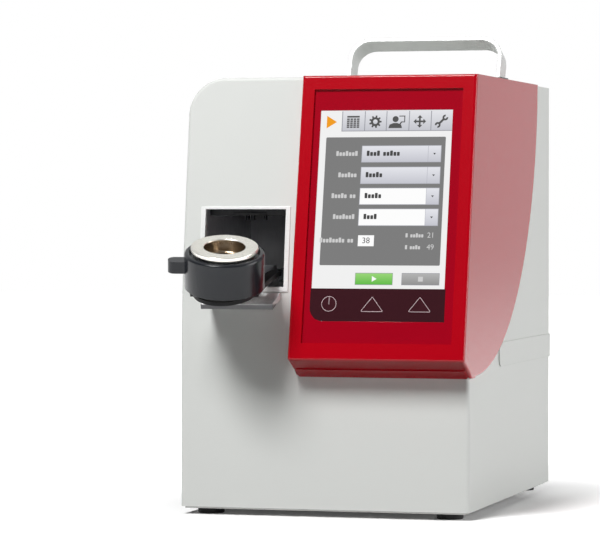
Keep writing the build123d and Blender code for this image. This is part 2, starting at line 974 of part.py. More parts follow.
shaft_x, shaft_y = cup_x, front_y + cup_in_y
liner_rear_y = front_y + liner_back
with BuildPart() as chamber_liner:
    box_between(
        (liner_left - liner_wall, liner_right + liner_wall),
        (trim_rear_y, liner_rear_y + liner_wall),
        (liner_floor - liner_wall, liner_top),
    )
    box_between(
        opening_x,
        (trim_rear_y - 1, liner_rear_y),
        (liner_floor, liner_top + 1),
        mode=Mode.SUBTRACT,
    )
    upright(
        shaft_x,
        shaft_y,
        liner_floor - 2 * liner_wall,
        liner_floor + liner_wall,
        stem_radius + stem_gap,
        mode=Mode.SUBTRACT,
    )
    add(housing_lining, mode=Mode.INTERSECT)
save(chamber_liner, "chamber_liner")

# The carriage is a fork that follows a curved path, with a round seat on top.
rail_front = trim_back + 0.4
rail_rear = liner_back - 3.0
seat_radius = rail_inner_x - 2 * sliding_gap
seat_drop = seat_radius * tan(radians(cup_up.get_angle(turn_up))) + running_gap
prong_radius = travel_radius - (prong_top + prong_bottom) / 2
prong_front_angle = cup_tip + 1.0
rail_front_angle = travel_angle(rail_front, prong_radius)
rail_rear_angle = travel_angle(rail_rear, prong_radius)

with BuildPart() as cup_carriage:
    with BuildSketch(turn_plane.offset(-seat_drop)):
        Circle(seat_radius)
        Circle(seat_hole_radius, mode=Mode.SUBTRACT)
        with Locations((0, seat_radius)):
            Rectangle(2 * seat_hole_radius, 2 * seat_radius, mode=Mode.SUBTRACT)
    extrude(amount=-seat_thickness)
    for near in (prong_inner_x, -prong_outer_x):
        prong = curved_bar(
            cup_x + near,
            travel_radius - prong_bottom,
            travel_radius - prong_top,
            prong_front_angle,
            prong_rear_angle,
        )
        extrude(prong, amount=prong_outer_x - prong_inner_x)
save(cup_carriage, "cup_carriage")

with BuildPart() as carriage_rails:
    for near, groove in (
        (rail_inner_x, rail_inner_x),
        (-opening_width / 2, -prong_outer_x - sliding_gap),
    ):
        rail = curved_bar(
            cup_x + near,
            travel_radius - rail_bottom,
            travel_radius - rail_top,
            rail_front_angle,
            rail_rear_angle,
        )
        extrude(rail, amount=opening_width / 2 - rail_inner_x)
        slot = curved_bar(
            cup_x + groove,
            travel_radius - prong_bottom - sliding_gap,
            travel_radius - prong_top + sliding_gap,
            rail_front_angle + 1,
            rail_rear_angle - 1,
        )
        groove_depth = prong_outer_x + sliding_gap - rail_inner_x
        extrude(slot, amount=groove_depth, mode=Mode.SUBTRACT)
save(carriage_rails, "carriage_rails")

seat_axis = Axis(seat.origin, seat.z_dir)
with BuildPart() as holder_tab:
    with BuildSketch(seat.offset(tab_lift)):
        with PolarLocations((tab_reach + tab_root) / 2, 1, 270 - tab_angle):
            RectangleRounded(tab_reach - tab_root, tab_width, tab_corner)
    extrude(amount=tab_height)
    tab_faces = holder_tab.faces().sort_by(seat_axis)
    fillet(tab_faces[0].edges() + tab_faces[-1].edges(), tab_round)

with BuildPart() as cup_holder:
    with BuildSketch(seat):
        Circle(holder_radius)
    extrude(amount=holder_height)
    rim = cup_holder.faces().sort_by(seat_axis)[-1]
    fillet(rim.edges(), holder_round)
    add(holder_tab.part)
    with BuildSketch(seat):
        Circle(holder_bore_radius)
    extrude(amount=holder_height, mode=Mode.SUBTRACT)
    with BuildSketch(seat.offset(holder_height - holder_recess_depth)):
        Circle(holder_recess_radius)
    extrude(amount=holder_recess_depth, mode=Mode.SUBTRACT)
save(cup_holder, "cup_holder")

with BuildPart() as sample_cup:
    with BuildSketch(seat.offset(cup_floor_gap)):
        Circle(cup_body_radius)
    extrude(amount=cup_top - cup_floor_gap)
    with BuildSketch(seat.offset(holder_height - holder_recess_depth)):
        Circle(cup_step_radius)
    extrude(amount=cup_proud + holder_recess_depth)
    with BuildSketch(seat.offset(cup_top - cup_flange_thickness)):
        Circle(cup_flange_radius)
    extrude(amount=cup_flange_thickness)
    with BuildSketch(seat.offset(cup_top)):
        Circle(cup_bore_radius)
    extrude(amount=-cup_bore_depth, mode=Mode.SUBTRACT)
save(sample_cup, "sample_cup")

stir_centre = seat.offset(cup_top - cup_bore_depth + sliding_gap + stir_radius)
stir_plane = Plane(
    origin=stir_centre.origin, x_dir=stir_centre.y_dir, z_dir=stir_centre.x_dir
)
with BuildPart() as stir_bar:
    with BuildSketch(stir_plane):
        Circle(stir_radius)
    extrude(amount=stir_length / 2, both=True)
    fillet(stir_bar.edges().filter_by(GeomType.CIRCLE), stir_end_round)
save(stir_bar, "stir_bar")

# ------------------------------------------------------ lid and its parts
lid_width = opening_width - 2 * fit_gap
lid_y = (front_y + lid_front, front_y + lid_rear)
lid_top = liner_top + lid_flange
electrode_x = (shaft_x - electrode_offset, shaft_x + electrode_offset)
probe_y = shaft_y - thermocouple_offset
with BuildPart() as lid_block:
    box_between((cup_x - lid_width / 2, cup_x + lid_width / 2), lid_y, (lid_face, lid_top))
    box_between(
        (liner_left - lid_flange_lap, liner_right + lid_flange_lap),
        lid_y,
        (liner_top, lid_top),
    )
    with BuildSketch(Plane.XY.offset(lid_face)):
        with Locations((shaft_x, shaft_y)):
            Circle(seal_outer)
            Circle(seal_inner, mode=Mode.SUBTRACT)
    extrude(amount=seal_depth, mode=Mode.SUBTRACT)
    for x in electrode_x:
        upright(
            x, shaft_y, lid_face - 1, lid_top + 1, probe_hole_radius, mode=Mode.SUBTRACT
        )
    upright(
        shaft_x, probe_y, lid_face - 1, lid_top + 1, probe_hole_radius, mode=Mode.SUBTRACT
    )
save(lid_block, "lid_block")

with BuildPart() as lid_seal:
    with BuildSketch(Plane.XY.offset(lid_face)):
        with Locations((shaft_x, shaft_y)):
            Circle(seal_outer)
            Circle(seal_inner, mode=Mode.SUBTRACT)
    extrude(amount=seal_depth)
save(lid_seal, "lid_seal")

with BuildPart() as electrodes:
    for x in electrode_x:
        upright(x, shaft_y, lid_face - probe_drop, lid_top, probe_radius)
        upright(x, shaft_y, lid_top, lid_top + probe_cap_height, probe_cap_radius)
save(electrodes, "electrodes")

with BuildPart() as thermocouple:
    upright(shaft_x, probe_y, lid_face - probe_drop, lid_top, probe_radius)
    upright(shaft_x, probe_y, lid_top, lid_top + probe_cap_height, probe_cap_radius)
save(thermocouple, "thermocouple")

cooler_y = front_y + cooler_depth
sink_y = front_y + sink_depth
sink_low = lid_top + cooler_height
sink_high = sink_low + sink_base + fin_height
with BuildPart() as cooling_module:
    with Locations((shaft_x, cooler_y, lid_top + cooler_height / 2)):
        Box(cooler_size, cooler_size, cooler_height)
save(cooling_module, "cooling_module")

with BuildPart() as heat_sink:
    with BuildSketch(Plane.XY.offset(sink_low)):
        with Locations((shaft_x, sink_y)):
            Rectangle(sink_size, sink_size)
    extrude(amount=sink_base)
    with BuildSketch(Plane.XY.offset(sink_low + sink_base)):
        with Locations((shaft_x, sink_y)):
            spacing = (sink_size - fin_thickness) / (fin_count - 1)
            with GridLocations(spacing, 0, fin_count, 1):
                Rectangle(fin_thickness, sink_size)
    extrude(amount=fin_height)
save(heat_sink, "heat_sink")


def fan_body(plane, size, depth, bore, hub):
    """A square fan housing with a round duct, a hub and four struts."""
    with BuildPart() as body:
        with BuildSketch(plane):
            RectangleRounded(size, size, fan_corner)
            Circle(bore, mode=Mode.SUBTRACT)
        extrude(amount=depth)
        with BuildSketch(plane):
            Circle(hub)
            Rectangle(2 * bore + fan_strut, fan_strut)
            Rectangle(fan_strut, 2 * bore + fan_strut)
        extrude(amount=fan_strut)
    return body.part


def fan_rotor(plane, depth, bore, hub):
    """A fan's rotor: a hub with flat blades set at an angle."""
    span = bore - hub - 2 * fit_gap
    chord = depth - fan_strut - 2 * fan_running_gap
    with BuildPart() as rotor:
        with BuildSketch(plane.offset(fan_strut + fan_running_gap)):
            Circle(hub)
        extrude(amount=chord)
        middle = plane.offset(fan_strut + fan_running_gap + chord / 2)
        for blade in range(fan_blade_count):
            turn = Location((0, 0, 0), (0, 0, 360 * blade / fan_blade_count))
            spoke = Plane(middle.location * turn)
            root = Plane(spoke.origin, x_dir=spoke.z_dir, z_dir=spoke.x_dir)
            with BuildSketch(root.offset(hub - 1)):
                Rectangle(chord - 1, fan_blade_thickness, rotation=fan_blade_pitch)
            extrude(amount=span + 1)
    return rotor.part


sink_fan_plane = Plane((shaft_x, sink_y, sink_high))
with BuildPart() as sink_fan:
    add(fan_body(sink_fan_plane, sink_size, fan_height, sink_fan_bore, sink_fan_hub))
save(sink_fan, "sink_fan")

with BuildPart() as sink_fan_rotor:
    add(fan_rotor(sink_fan_plane, fan_height, sink_fan_bore, sink_fan_hub))
save(sink_fan_rotor, "sink_fan_rotor")

# ------------------------------------------------- lift and stirrer drive

frame_low = base_top + motor_height
frame_high = liner_floor - liner_wall
pusher_top = cup_in_z - pusher_gap
pusher_low = pusher_top - pusher_height
cavity_high = pusher_top - pusher_face
cavity_low = cavity_high - cavity_height
rod_x = (shaft_x - rod_spacing, shaft_x + rod_spacing)
frame_y = (shaft_y - bracket_depth / 2, shaft_y + motor_size / 2 + lift_back_gap)

with BuildPart() as lift_motor:
    with BuildSketch(Plane.XY.offset(base_top)):
        with Locations((shaft_x, shaft_y)):
            RectangleRounded(motor_size, motor_size, motor_corner)
    extrude(amount=motor_height)
    upright(
        shaft_x,
        shaft_y,
        frame_low - motor_height / 2,
        frame_low + 1,
        lead_screw_radius + running_gap,
        mode=Mode.SUBTRACT,
    )
save(lift_motor, "lift_motor")

with BuildPart() as lead_screw:
    upright(shaft_x, shaft_y, frame_low - motor_height / 2, screw_top, lead_screw_radius)
save(lead_screw, "lead_screw")

with BuildPart() as lift_frame:
    box_between(
        (shaft_x - lift_frame_width / 2, shaft_x + lift_frame_width / 2),
        (frame_y[0], frame_y[1] + plate_thickness),
        (frame_low, frame_low + plate_thickness),
    )
    box_between(
        (shaft_x - lift_frame_width / 2, shaft_x + lift_frame_width / 2),
        (frame_y[0], frame_y[1] + plate_thickness),
        (frame_high - plate_thickness, frame_high),
    )
    box_between(
        (shaft_x - lift_frame_width / 2, shaft_x + lift_frame_width / 2),
        (frame_y[1], frame_y[1] + plate_thickness),
        (base_top, frame_high),
    )
    upright(
        shaft_x,
        shaft_y,
        frame_low - 1,
        frame_low + 2 * plate_thickness,
        lead_screw_radius + stem_gap,
        mode=Mode.SUBTRACT,
    )
    upright(
        shaft_x,
        shaft_y,
        frame_high - 2 * plate_thickness,
        frame_high + 1,
        stem_radius + stem_gap,
        mode=Mode.SUBTRACT,
    )
save(lift_frame, "lift_frame")

with BuildPart() as guide_rods:
    for x in rod_x:
        upright(
            x,
            shaft_y,
            frame_low + plate_thickness,
            frame_high - plate_thickness,
            rod_radius,
        )
save(guide_rods, "guide_rods")

bracket_top = bracket_low + bracket_height
with BuildPart() as lift_bracket:
    box_between(
        (shaft_x - bracket_width / 2, shaft_x + bracket_width / 2),
        (shaft_y - bracket_depth / 2, shaft_y + bracket_depth / 2),
        (bracket_low, bracket_top),
    )
    for x in rod_x:
        upright(
            x,
            shaft_y,
            bracket_low - 1,
            bracket_top + 1,
            rod_radius + running_gap,
            mode=Mode.SUBTRACT,
        )
    upright(
        shaft_x, shaft_y, bracket_low - 1, bracket_top + 1, nut_radius, mode=Mode.SUBTRACT
    )
save(lift_bracket, "lift_bracket")

with BuildPart() as lift_nut:
    upright(shaft_x, shaft_y, bracket_low - nut_flange, bracket_top, nut_radius)
    upright(shaft_x, shaft_y, bracket_low - nut_flange, bracket_low, nut_flange_radius)
    upright(
        shaft_x,
        shaft_y,
        bracket_low - 2 * nut_flange,
        bracket_top + 1,
        lead_screw_radius + running_gap,
        mode=Mode.SUBTRACT,
    )
save(lift_nut, "lift_nut")

with BuildPart() as lift_stem:
    upright(shaft_x, shaft_y, bracket_top, pusher_low, stem_radius)
    upright(shaft_x, shaft_y, pusher_low, pusher_top, pusher_radius)
    upright(
        shaft_x, shaft_y, bracket_top - 1, cavity_low, stem_bore, mode=Mode.SUBTRACT
    )
    upright(
        shaft_x, shaft_y, cavity_low, cavity_high, magnet_cavity, mode=Mode.SUBTRACT
    )
save(lift_stem, "lift_stem")

magnet_low = cavity_low + (cavity_height - magnet_height) / 2
stir_motor_top = cavity_low - stir_motor_gap
stir_motor_low = stir_motor_top - stir_motor_height
with BuildPart() as stirrer_motor:
    upright(shaft_x, shaft_y, stir_motor_low, stir_motor_top, stir_motor_radius)
    upright(
        shaft_x,
        shaft_y,
        stir_motor_top - stir_motor_height / 2,
        stir_motor_top + 1,
        stir_shaft_radius + running_gap,
        mode=Mode.SUBTRACT,
    )
save(stirrer_motor, "stirrer_motor")

with BuildPart() as stirrer_rotor:
    upright(
        shaft_x,
        shaft_y,
        stir_motor_top - stir_motor_height / 2,
        magnet_low,
        stir_shaft_radius,
    )
    upright(shaft_x, shaft_y, magnet_low, magnet_low + magnet_height, magnet_radius)
save(stirrer_rotor, "stirrer_rotor")

# ------------------------------------------------------------ electronics
divider_x = left_x + divider_inset
divider_y = (front_y + divider_front, panel_front)
divider_right = divider_x + divider_thickness
main_board_y = (front_y + board_front, front_y + board_rear)
main_board_z = (board_low, board_high)
board_x = divider_right + standoff_height
with BuildPart() as divider_plate:
    box_between((divider_x, divider_right), divider_y, (base_top, divider_top))
    box_between(
        (divider_x, divider_right + divider_foot),
        divider_y,
        (base_top, base_top + divider_thickness),
    )
    for y in (main_board_y[0] + standoff_inset, main_board_y[1] - standoff_inset):
        for z in (main_board_z[0] + standoff_inset, main_board_z[1] - standoff_inset):
            crosswise(y, z, divider_right, board_x, standoff_radius)
save(divider_plate, "divider_plate")

with BuildPart() as main_board:
    box_between((board_x, board_x + board_thickness), main_board_y, main_board_z)
    with BuildSketch(Plane.YZ.offset(board_x + board_thickness)):
        with Locations(
            (sum(main_board_y) / 2, sum(main_board_z) / 2),
        ):
            with GridLocations(chip_pitch, chip_pitch, 3, 3):
                Rectangle(chip_length, chip_size)
    extrude(amount=chip_height)
save(main_board, "main_board")

supply_x = (divider_x + supply_gap, right_x - supply_inset)
supply_y = (front_y + supply_front, front_y + supply_rear)
with BuildPart() as power_supply:
    box_between(supply_x, supply_y, (base_top, base_top + supply_height))
    with BuildSketch(Plane.XY.offset(base_top + supply_height)):
        with Locations((sum(supply_x) / 2, sum(supply_y) / 2)):
            with GridLocations(vent_pitch, 0, vent_slots, 1):
                SlotOverall(vent_slot_length, vent_slot_width, rotation=90)
    extrude(amount=-vent_slot_depth, mode=Mode.SUBTRACT)
save(power_supply, "power_supply")

igniter_y = (front_y + igniter_front, front_y + igniter_rear)
igniter_z = (igniter_low, igniter_high)
with BuildPart() as ignition_module:
    box_between((divider_x - igniter_depth, divider_x), igniter_y, igniter_z)
    fillet(ignition_module.edges().filter_by(Axis.X), igniter_round)
save(ignition_module, "ignition_module")

pump_y = (front_y + pump_front, front_y + pump_rear)
pump_x = cup_x - pump_offset
pump_head_rear = pump_y[0] + pump_head_length
pump_outlet_y = pump_y[0] + pump_outlet_run
with BuildPart() as air_pump:
    depthwise(pump_x, base_top + pump_head / 2, pump_y[0] + pump_collar, pump_y[1], pump_radius)
    box_between(
        (pump_x - pump_head / 2, pump_x + pump_head / 2),
        (pump_y[0], pump_head_rear),
        (base_top, base_top + pump_head),
    )
    upright(
        pump_x,
        pump_outlet_y,
        base_top + pump_head,
        base_top + pump_head + pump_outlet_height,
        pump_outlet_radius,
    )
save(air_pump, "air_pump")

valve_y = front_y + lid_rear - valve_size / 2
tube_z = lid_top + valve_size / 2
sensor_x = shaft_x + sensor_offset
with BuildPart() as gas_block:
    box_between(
        (pump_x - valve_size / 2, sensor_x + sensor_size / 2),
        (valve_y - valve_size / 2, valve_y + valve_size / 2),
        (lid_top, lid_top + valve_size),
    )
    upright(
        sensor_x,
        valve_y,
        lid_top + valve_size,
        lid_top + valve_size + sensor_size,
        sensor_size / 2,
    )
save(gas_block, "gas_block")

tube_start = (pump_x, valve_y + valve_size / 2, tube_z)
tube_end = (pump_x, pump_outlet_y, base_top + pump_head + pump_outlet_height)
with BuildPart() as air_tube:
    with BuildLine() as tube_line:
        FilletPolyline(
            tube_start, (pump_x, pump_outlet_y, tube_z), tube_end, radius=tube_bend
        )
    with BuildSketch(tube_line.line ^ 0):
        Circle(tube_radius)
    sweep()
save(air_tube, "air_tube")

# -------------------------------------------------------------- rear panel
rear_fan_x = left_x + rear_fan_inset
vent_x = left_x + vent_inset
switch_x = divider_x + switch_gap
inlet_x = switch_x + inlet_gap
usb_x = right_x - usb_inset
network_x = right_x - network_inset
with BuildPart() as rear_panel:
    box_between(
        (left_x, right_x), (panel_front, panel_back), (base_top + fit_gap, body_top)
    )
    add(housing_lining, mode=Mode.INTERSECT)
    depthwise(
        rear_fan_x,
        rear_fan_z,
        panel_front - 1,
        panel_back + 1,
        rear_fan_bore,
        mode=Mode.SUBTRACT,
    )
    for x, z, width, height in (
        (inlet_x, inlet_z, inlet_width, inlet_height),
        (switch_x, inlet_z, switch_width, switch_height),
        (usb_x, port_z, usb_width, usb_height),
        (network_x, port_z, network_width, network_height),
    ):
        box_between(
            (x - width / 2, x + width / 2),
            (panel_front - 1, panel_back + 1),
            (z - height / 2, z + height / 2),
            mode=Mode.SUBTRACT,
        )
    depthwise(
        vent_x, vent_z, panel_front - 1, panel_back + 1, vent_radius, mode=Mode.SUBTRACT
    )
save(rear_panel, "rear_panel")

rear_fan_plane = Plane(
    (rear_fan_x, panel_front, rear_fan_z), x_dir=(1, 0, 0), z_dir=(0, -1, 0)
)
with BuildPart() as rear_fan:
    add(
        fan_body(
            rear_fan_plane, rear_fan_size, rear_fan_depth, rear_fan_bore, rear_fan_hub
        )
    )
save(rear_fan, "rear_fan")

with BuildPart() as rear_fan_rotor:
    add(fan_rotor(rear_fan_plane, rear_fan_depth, rear_fan_bore, rear_fan_hub))
save(rear_fan_rotor, "rear_fan_rotor")

guard_plane = Plane(
    (rear_fan_x, panel_back, rear_fan_z), x_dir=(-1, 0, 0), z_dir=(0, 1, 0)
)
with BuildPart() as fan_guard:
    with BuildSketch(guard_plane):
        for ring in (guard_inner, guard_middle, guard_outer):
            Circle(ring + guard_wire / 2)
            Circle(ring - guard_wire / 2, mode=Mode.SUBTRACT)
        with PolarLocations(guard_spoke_middle, 4, 45):
            Rectangle(guard_spoke, guard_wire)
    extrude(amount=guard_wire)
save(fan_guard, "fan_guard")


def panel_socket(x, z, width, height, depth, hollow):
    """A socket set into the rear panel, with a lip outside it."""
    with BuildPart() as socket:
        box_between(
            (x - width / 2, x + width / 2),
            (panel_back - depth, panel_back),
            (z - height / 2, z + height / 2),
        )
        box_between(
            (x - width / 2 - bezel_lap, x + width / 2 + bezel_lap),
            (panel_back, panel_back + bezel_proud),
            (z - height / 2 - bezel_lap, z + height / 2 + bezel_lap),
        )
        box_between(
            (x - width / 2 + socket_wall, x + width / 2 - socket_wall),
            (panel_back + bezel_proud - hollow, panel_back + bezel_proud + 1),
            (z - height / 2 + socket_wall, z + height / 2 - socket_wall),
            mode=Mode.SUBTRACT,
        )
    return socket.part


with BuildPart() as power_inlet:
    add(
        panel_socket(
            inlet_x, inlet_z, inlet_width, inlet_height, inlet_depth, inlet_hollow
        )
    )
    pin_y = panel_back + bezel_proud - inlet_hollow + pin_length / 2
    for x, z in (
        (inlet_x - pin_spread, inlet_z - pin_drop),
        (inlet_x + pin_spread, inlet_z - pin_drop),
        (inlet_x, inlet_z + pin_rise),
    ):
        with Locations((x, pin_y, z)):
            Box(pin_width, pin_length, pin_height)
save(power_inlet, "power_inlet")

rocker_pivot_y = panel_back - rocker_pivot_depth
pin_half = switch_width / 2 - socket_wall / 2
rocker_half = switch_width / 2 - socket_wall - fit_gap
with BuildPart() as switch_body:
    add(
        panel_socket(
            switch_x, inlet_z, switch_width, switch_height, switch_depth, switch_hollow
        )
    )
    crosswise(
        rocker_pivot_y,
        inlet_z,
        switch_x - pin_half,
        switch_x + pin_half,
        rocker_pin + running_gap,
        mode=Mode.SUBTRACT,
    )
save(switch_body, "switch_body")

# The rocker rests pressed in at its top, and its own plane leans by that angle.
rocker_plane = Plane(
    origin=(switch_x - rocker_half, rocker_pivot_y, inlet_z),
    x_dir=(0, cos(radians(rocker_tilt)), sin(radians(rocker_tilt))),
    z_dir=(1, 0, 0),
)
with BuildPart() as switch_rocker:
    with BuildSketch(rocker_plane):
        with BuildLine():
            Polyline(
                (-rocker_tail, -rocker_waist),
                (rocker_edge - rocker_lip, -rocker_tip),
                (rocker_edge, -rocker_tip),
                (rocker_dip, 0),
                (rocker_edge, rocker_tip),
                (rocker_edge - rocker_lip, rocker_tip),
                (-rocker_tail, rocker_waist),
                (-rocker_tail, -rocker_waist),
            )
        make_face()
    extrude(amount=2 * rocker_half)
    crosswise(
        rocker_pivot_y,
        inlet_z,
        switch_x - pin_half + fit_gap,
        switch_x + pin_half - fit_gap,
        rocker_pin,
    )
save(switch_rocker, "switch_rocker")

with BuildPart() as usb_ports:
    add(panel_socket(usb_x, port_z, usb_width, usb_height, port_depth, port_hollow))
    with Locations((usb_x, panel_back + bezel_proud - port_hollow / 2, port_z)):
        Box(usb_width - 2 * socket_wall, port_hollow, tongue_thickness)
save(usb_ports, "usb_ports")

with BuildPart() as network_jack:
    add(
        panel_socket(
            network_x, port_z, network_width, network_height, port_depth, port_hollow
        )
    )
save(network_jack, "network_jack")

with BuildPart() as vent_fitting:
    depthwise(vent_x, vent_z, panel_back, panel_back + rear_reach, vent_radius + 2)
    depthwise(vent_x, vent_z, panel_back - vent_inside, panel_back, vent_radius)
    depthwise(
        vent_x,
        vent_z,
        panel_back - vent_inside - 1,
        panel_back + rear_reach + 1,
        vent_bore,
        mode=Mode.SUBTRACT,
    )
save(vent_fitting, "vent_fitting")

panel_screw_x = (left_x + screw_inset, 0.0, right_x - screw_inset)
with BuildPart() as cover_screws:
    for x in panel_screw_x:
        for z in (base_top + screw_inset, body_top - screw_drop):
            depthwise(x, z, panel_back, panel_back + screw_head_thickness, screw_head)
    for x in leg_x:
        for y in (handle_y - mount_length / 4, handle_y + mount_length / 4):
            upright(
                x,
                y,
                body_top - wall - screw_head_thickness,
                body_top - wall,
                screw_head,
            )
save(cover_screws, "cover_screws")
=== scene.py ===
import json
from math import cos, pi, radians, sin

import bmesh
import bpy
from mathutils import Matrix, Vector


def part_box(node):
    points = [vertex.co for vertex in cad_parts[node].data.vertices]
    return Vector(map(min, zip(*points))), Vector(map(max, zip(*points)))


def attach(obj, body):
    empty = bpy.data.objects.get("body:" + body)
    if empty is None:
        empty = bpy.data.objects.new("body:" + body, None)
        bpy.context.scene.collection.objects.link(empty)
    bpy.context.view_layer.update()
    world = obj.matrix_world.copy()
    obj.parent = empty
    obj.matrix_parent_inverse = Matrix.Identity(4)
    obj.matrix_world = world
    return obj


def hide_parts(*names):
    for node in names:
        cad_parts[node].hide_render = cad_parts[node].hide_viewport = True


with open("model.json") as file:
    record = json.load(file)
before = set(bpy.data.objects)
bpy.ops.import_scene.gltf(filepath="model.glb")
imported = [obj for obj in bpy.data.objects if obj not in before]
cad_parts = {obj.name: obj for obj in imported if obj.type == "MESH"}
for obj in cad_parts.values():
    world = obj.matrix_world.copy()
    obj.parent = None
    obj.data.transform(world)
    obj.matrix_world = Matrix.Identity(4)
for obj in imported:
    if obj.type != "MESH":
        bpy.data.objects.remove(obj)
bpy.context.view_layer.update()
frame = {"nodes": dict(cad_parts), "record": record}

# A bench-top flash point tester. Everything is in metres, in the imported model's
# frame: X to the right, Y to the back, Z up from the bench.

# ------------------------------------------------------------ where things are
record = frame["record"]
joint = {item["name"]: item for item in record["behaviour"]["joints"]}
body_of_node = {
    node: body
    for body, members in record["behaviour"]["bodies"].items()
    for node in members
}
slot_of_node = {item["node"]: item["material_slot"] for item in record["subparts"]}

# The hood's face leans back, and a key travels straight into it.
face_out = -Vector(joint["power_key_press"]["axis"])

# The cup sits tipped forward in its holder, and lifts along its own axis.
seat_point = Vector(joint["holder_turn"]["pos_m"])
seat_up = Vector(joint["cup_lift"]["axis"])


# ------------------------------------------------------------------- shaders
def srgb(red, green, blue):
    """A linear colour from the 0 to 255 values that a screen shows."""
    linear = []
    for value in (red, green, blue):
        part = value / 255
        linear.append(part / 12.92 if part <= 0.04045 else ((part + 0.055) / 1.055) ** 2.4)
    return (*linear, 1.0)


class Signal:
    """What one shader socket gives, so that arithmetic on it makes Math nodes."""

    def __init__(self, finish, socket):
        self.finish = finish
        self.socket = socket

    def math(self, operation, left, right):
        return self.finish.node(
            "ShaderNodeMath", {"operation": operation}, {0: left, 1: right}
        )

    def __add__(self, other):
        return self.math("ADD", self, other)

    def __radd__(self, other):
        return self.math("ADD", other, self)

    def __sub__(self, other):
        return self.math("SUBTRACT", self, other)

    def __mul__(self, other):
        return self.math("MULTIPLY", self, other)


class Finish:
    """A material, or the world, as a tree of shader nodes."""

    def __init__(self, name, owner=None):
        self.owner = owner or bpy.data.materials.new(name)
        self.owner.use_nodes = True
        self.tree = self.owner.node_tree
        self.tree.nodes.clear()

    def node(self, kind, settings=None, sockets=None, output=0):
        """Adds a node: its settings first, then a value or a link for each socket."""
        made = self.tree.nodes.new(kind)
        for key, value in (settings or {}).items():
            if key == "stops":
                ramp = made.color_ramp
                while len(ramp.elements) < len(value):
                    ramp.elements.new(0.5)
                for element, (place, colour) in zip(ramp.elements, value):
                    element.position = place
                    element.color = colour
            else:
                setattr(made, key, value)
        for key, value in (sockets or {}).items():
            if isinstance(value, Signal):
                self.tree.links.new(value.socket, made.inputs[key])
            else:
                made.inputs[key].default_value = value
        return Signal(self, made.outputs[output]) if len(made.outputs) else None

    def place(self, stretch=(1, 1, 1), centre=(0, 0, 0)):
        """Object coordinates, centred on a point and stretched along each axis."""
        where = self.node("ShaderNodeTexCoord", output="Object")
        moved = [-part * factor for part, factor in zip(centre, stretch)]
        return self.node(
            "ShaderNodeMapping", {}, {"Vector": where, "Location": moved, "Scale": stretch}
        )

    def noise(self, scale, detail=2.0, roughness=0.5, where=None):
        """Cloudy noise from 0 to 1, with its cells per metre."""
        return self.node(
            "ShaderNodeTexNoise",
            {},
            {
                "Vector": where or self.place(),
                "Scale": scale,
                "Detail": detail,
                "Roughness": roughness,
            },
        )

    def mix(self, factor, one, other):
        """A colour between two colours."""
        return self.node(
            "ShaderNodeMix", {"data_type": "RGBA"}, {0: factor, 6: one, 7: other}, 2
        )

    def ramp(self, factor, stops):
        """A number from 0 to 1 turned into a grey by stops of (place, value)."""
        greys = [(place, (value, value, value, 1)) for place, value in stops]
        return self.node("ShaderNodeValToRGB", {"stops": greys}, {0: factor})

    def bump(self, height, depth):
        """A normal from a height of 0 to 1 that stands for a depth in metres."""
        return self.node(
            "ShaderNodeBump", {}, {"Height": height, "Strength": 1.0, "Distance": depth}
        )

    def surface(self, **sockets):
        """The Principled surface, whose socket names are given with underscores."""
        named = {key.replace("_", " "): value for key, value in sockets.items()}
        shader = self.node("ShaderNodeBsdfPrincipled", {}, named)
        self.node("ShaderNodeOutputMaterial", {}, {"Surface": shader})
        return self.owner


def shade(colour, factor):
    """A colour made lighter or darker."""
    return tuple(part * factor for part in colour[:3]) + (1.0,)


def textured_paint(name, colour, grain, depth, roughness, coat, drift, gleam=0.5):
    """Sprayed paint with an even orange-peel grain, its cells per metre."""
    finish = Finish(name)
    peel = finish.noise(grain, 1.5, 0.45)
    fine = finish.noise(grain * 2.7, 1.0, 0.5)
    cloud = finish.noise(9.0, 3.0)
    height = peel * 0.75 + fine * 0.25
    tone = finish.mix(cloud, shade(colour, 1 - drift), shade(colour, 1 + drift))
    tone = finish.mix(
        finish.ramp(height, [(0.35, 0.0), (0.65, 0.12)]), tone, shade(colour, 1 + 3 * drift)
    )
    return finish.surface(
        Base_Color=tone,
        Roughness=roughness + (peel - 0.5) * 0.1,
        Normal=finish.bump(height, depth),
        Specular_IOR_Level=gleam,
        Coat_Weight=coat,
        Coat_Roughness=0.12,
    )


def polished_plastic(name, colour, roughness=0.06, drift=0.03):
    """Clear-faced or polished plastic, with faint streaks and dust in its gloss."""
    finish = Finish(name)
    cloud = finish.noise(14.0, 3.0)
    dust = finish.noise(900.0, 4.0, 0.7)
    return finish.surface(
        Base_Color=finish.mix(cloud, shade(colour, 1 - drift), shade(colour, 1 + drift)),
        Roughness=roughness + finish.ramp(dust, [(0.55, 0.0), (0.8, 0.16)]) * 0.5,
        Normal=finish.bump(finish.noise(35.0, 1.0), 0.00002),
        Coat_Weight=0.3,
        Coat_Roughness=0.03,
    )


def moulded_plastic(name, colour, roughness=0.45, grain=1800.0, depth=0.00003, gleam=0.5):
    """Moulded plastic or rubber with a fine spark-eroded grain."""
    finish = Finish(name)
    spark = finish.noise(grain, 2.0, 0.6)
    cloud = finish.noise(20.0, 3.0)
    tone = finish.mix(cloud, shade(colour, 0.9), shade(colour, 1.1))
    return finish.surface(
        Base_Color=finish.mix(spark * 0.3, tone, shade(colour, 1.6)),
        Roughness=roughness + (cloud - 0.5) * 0.12,
        Normal=finish.bump(spark, depth),
        Specular_IOR_Level=gleam,
    )


streak_along = 60.0        # cells per metre along the way that metal is brushed
streak_across = 2600.0     # and across it


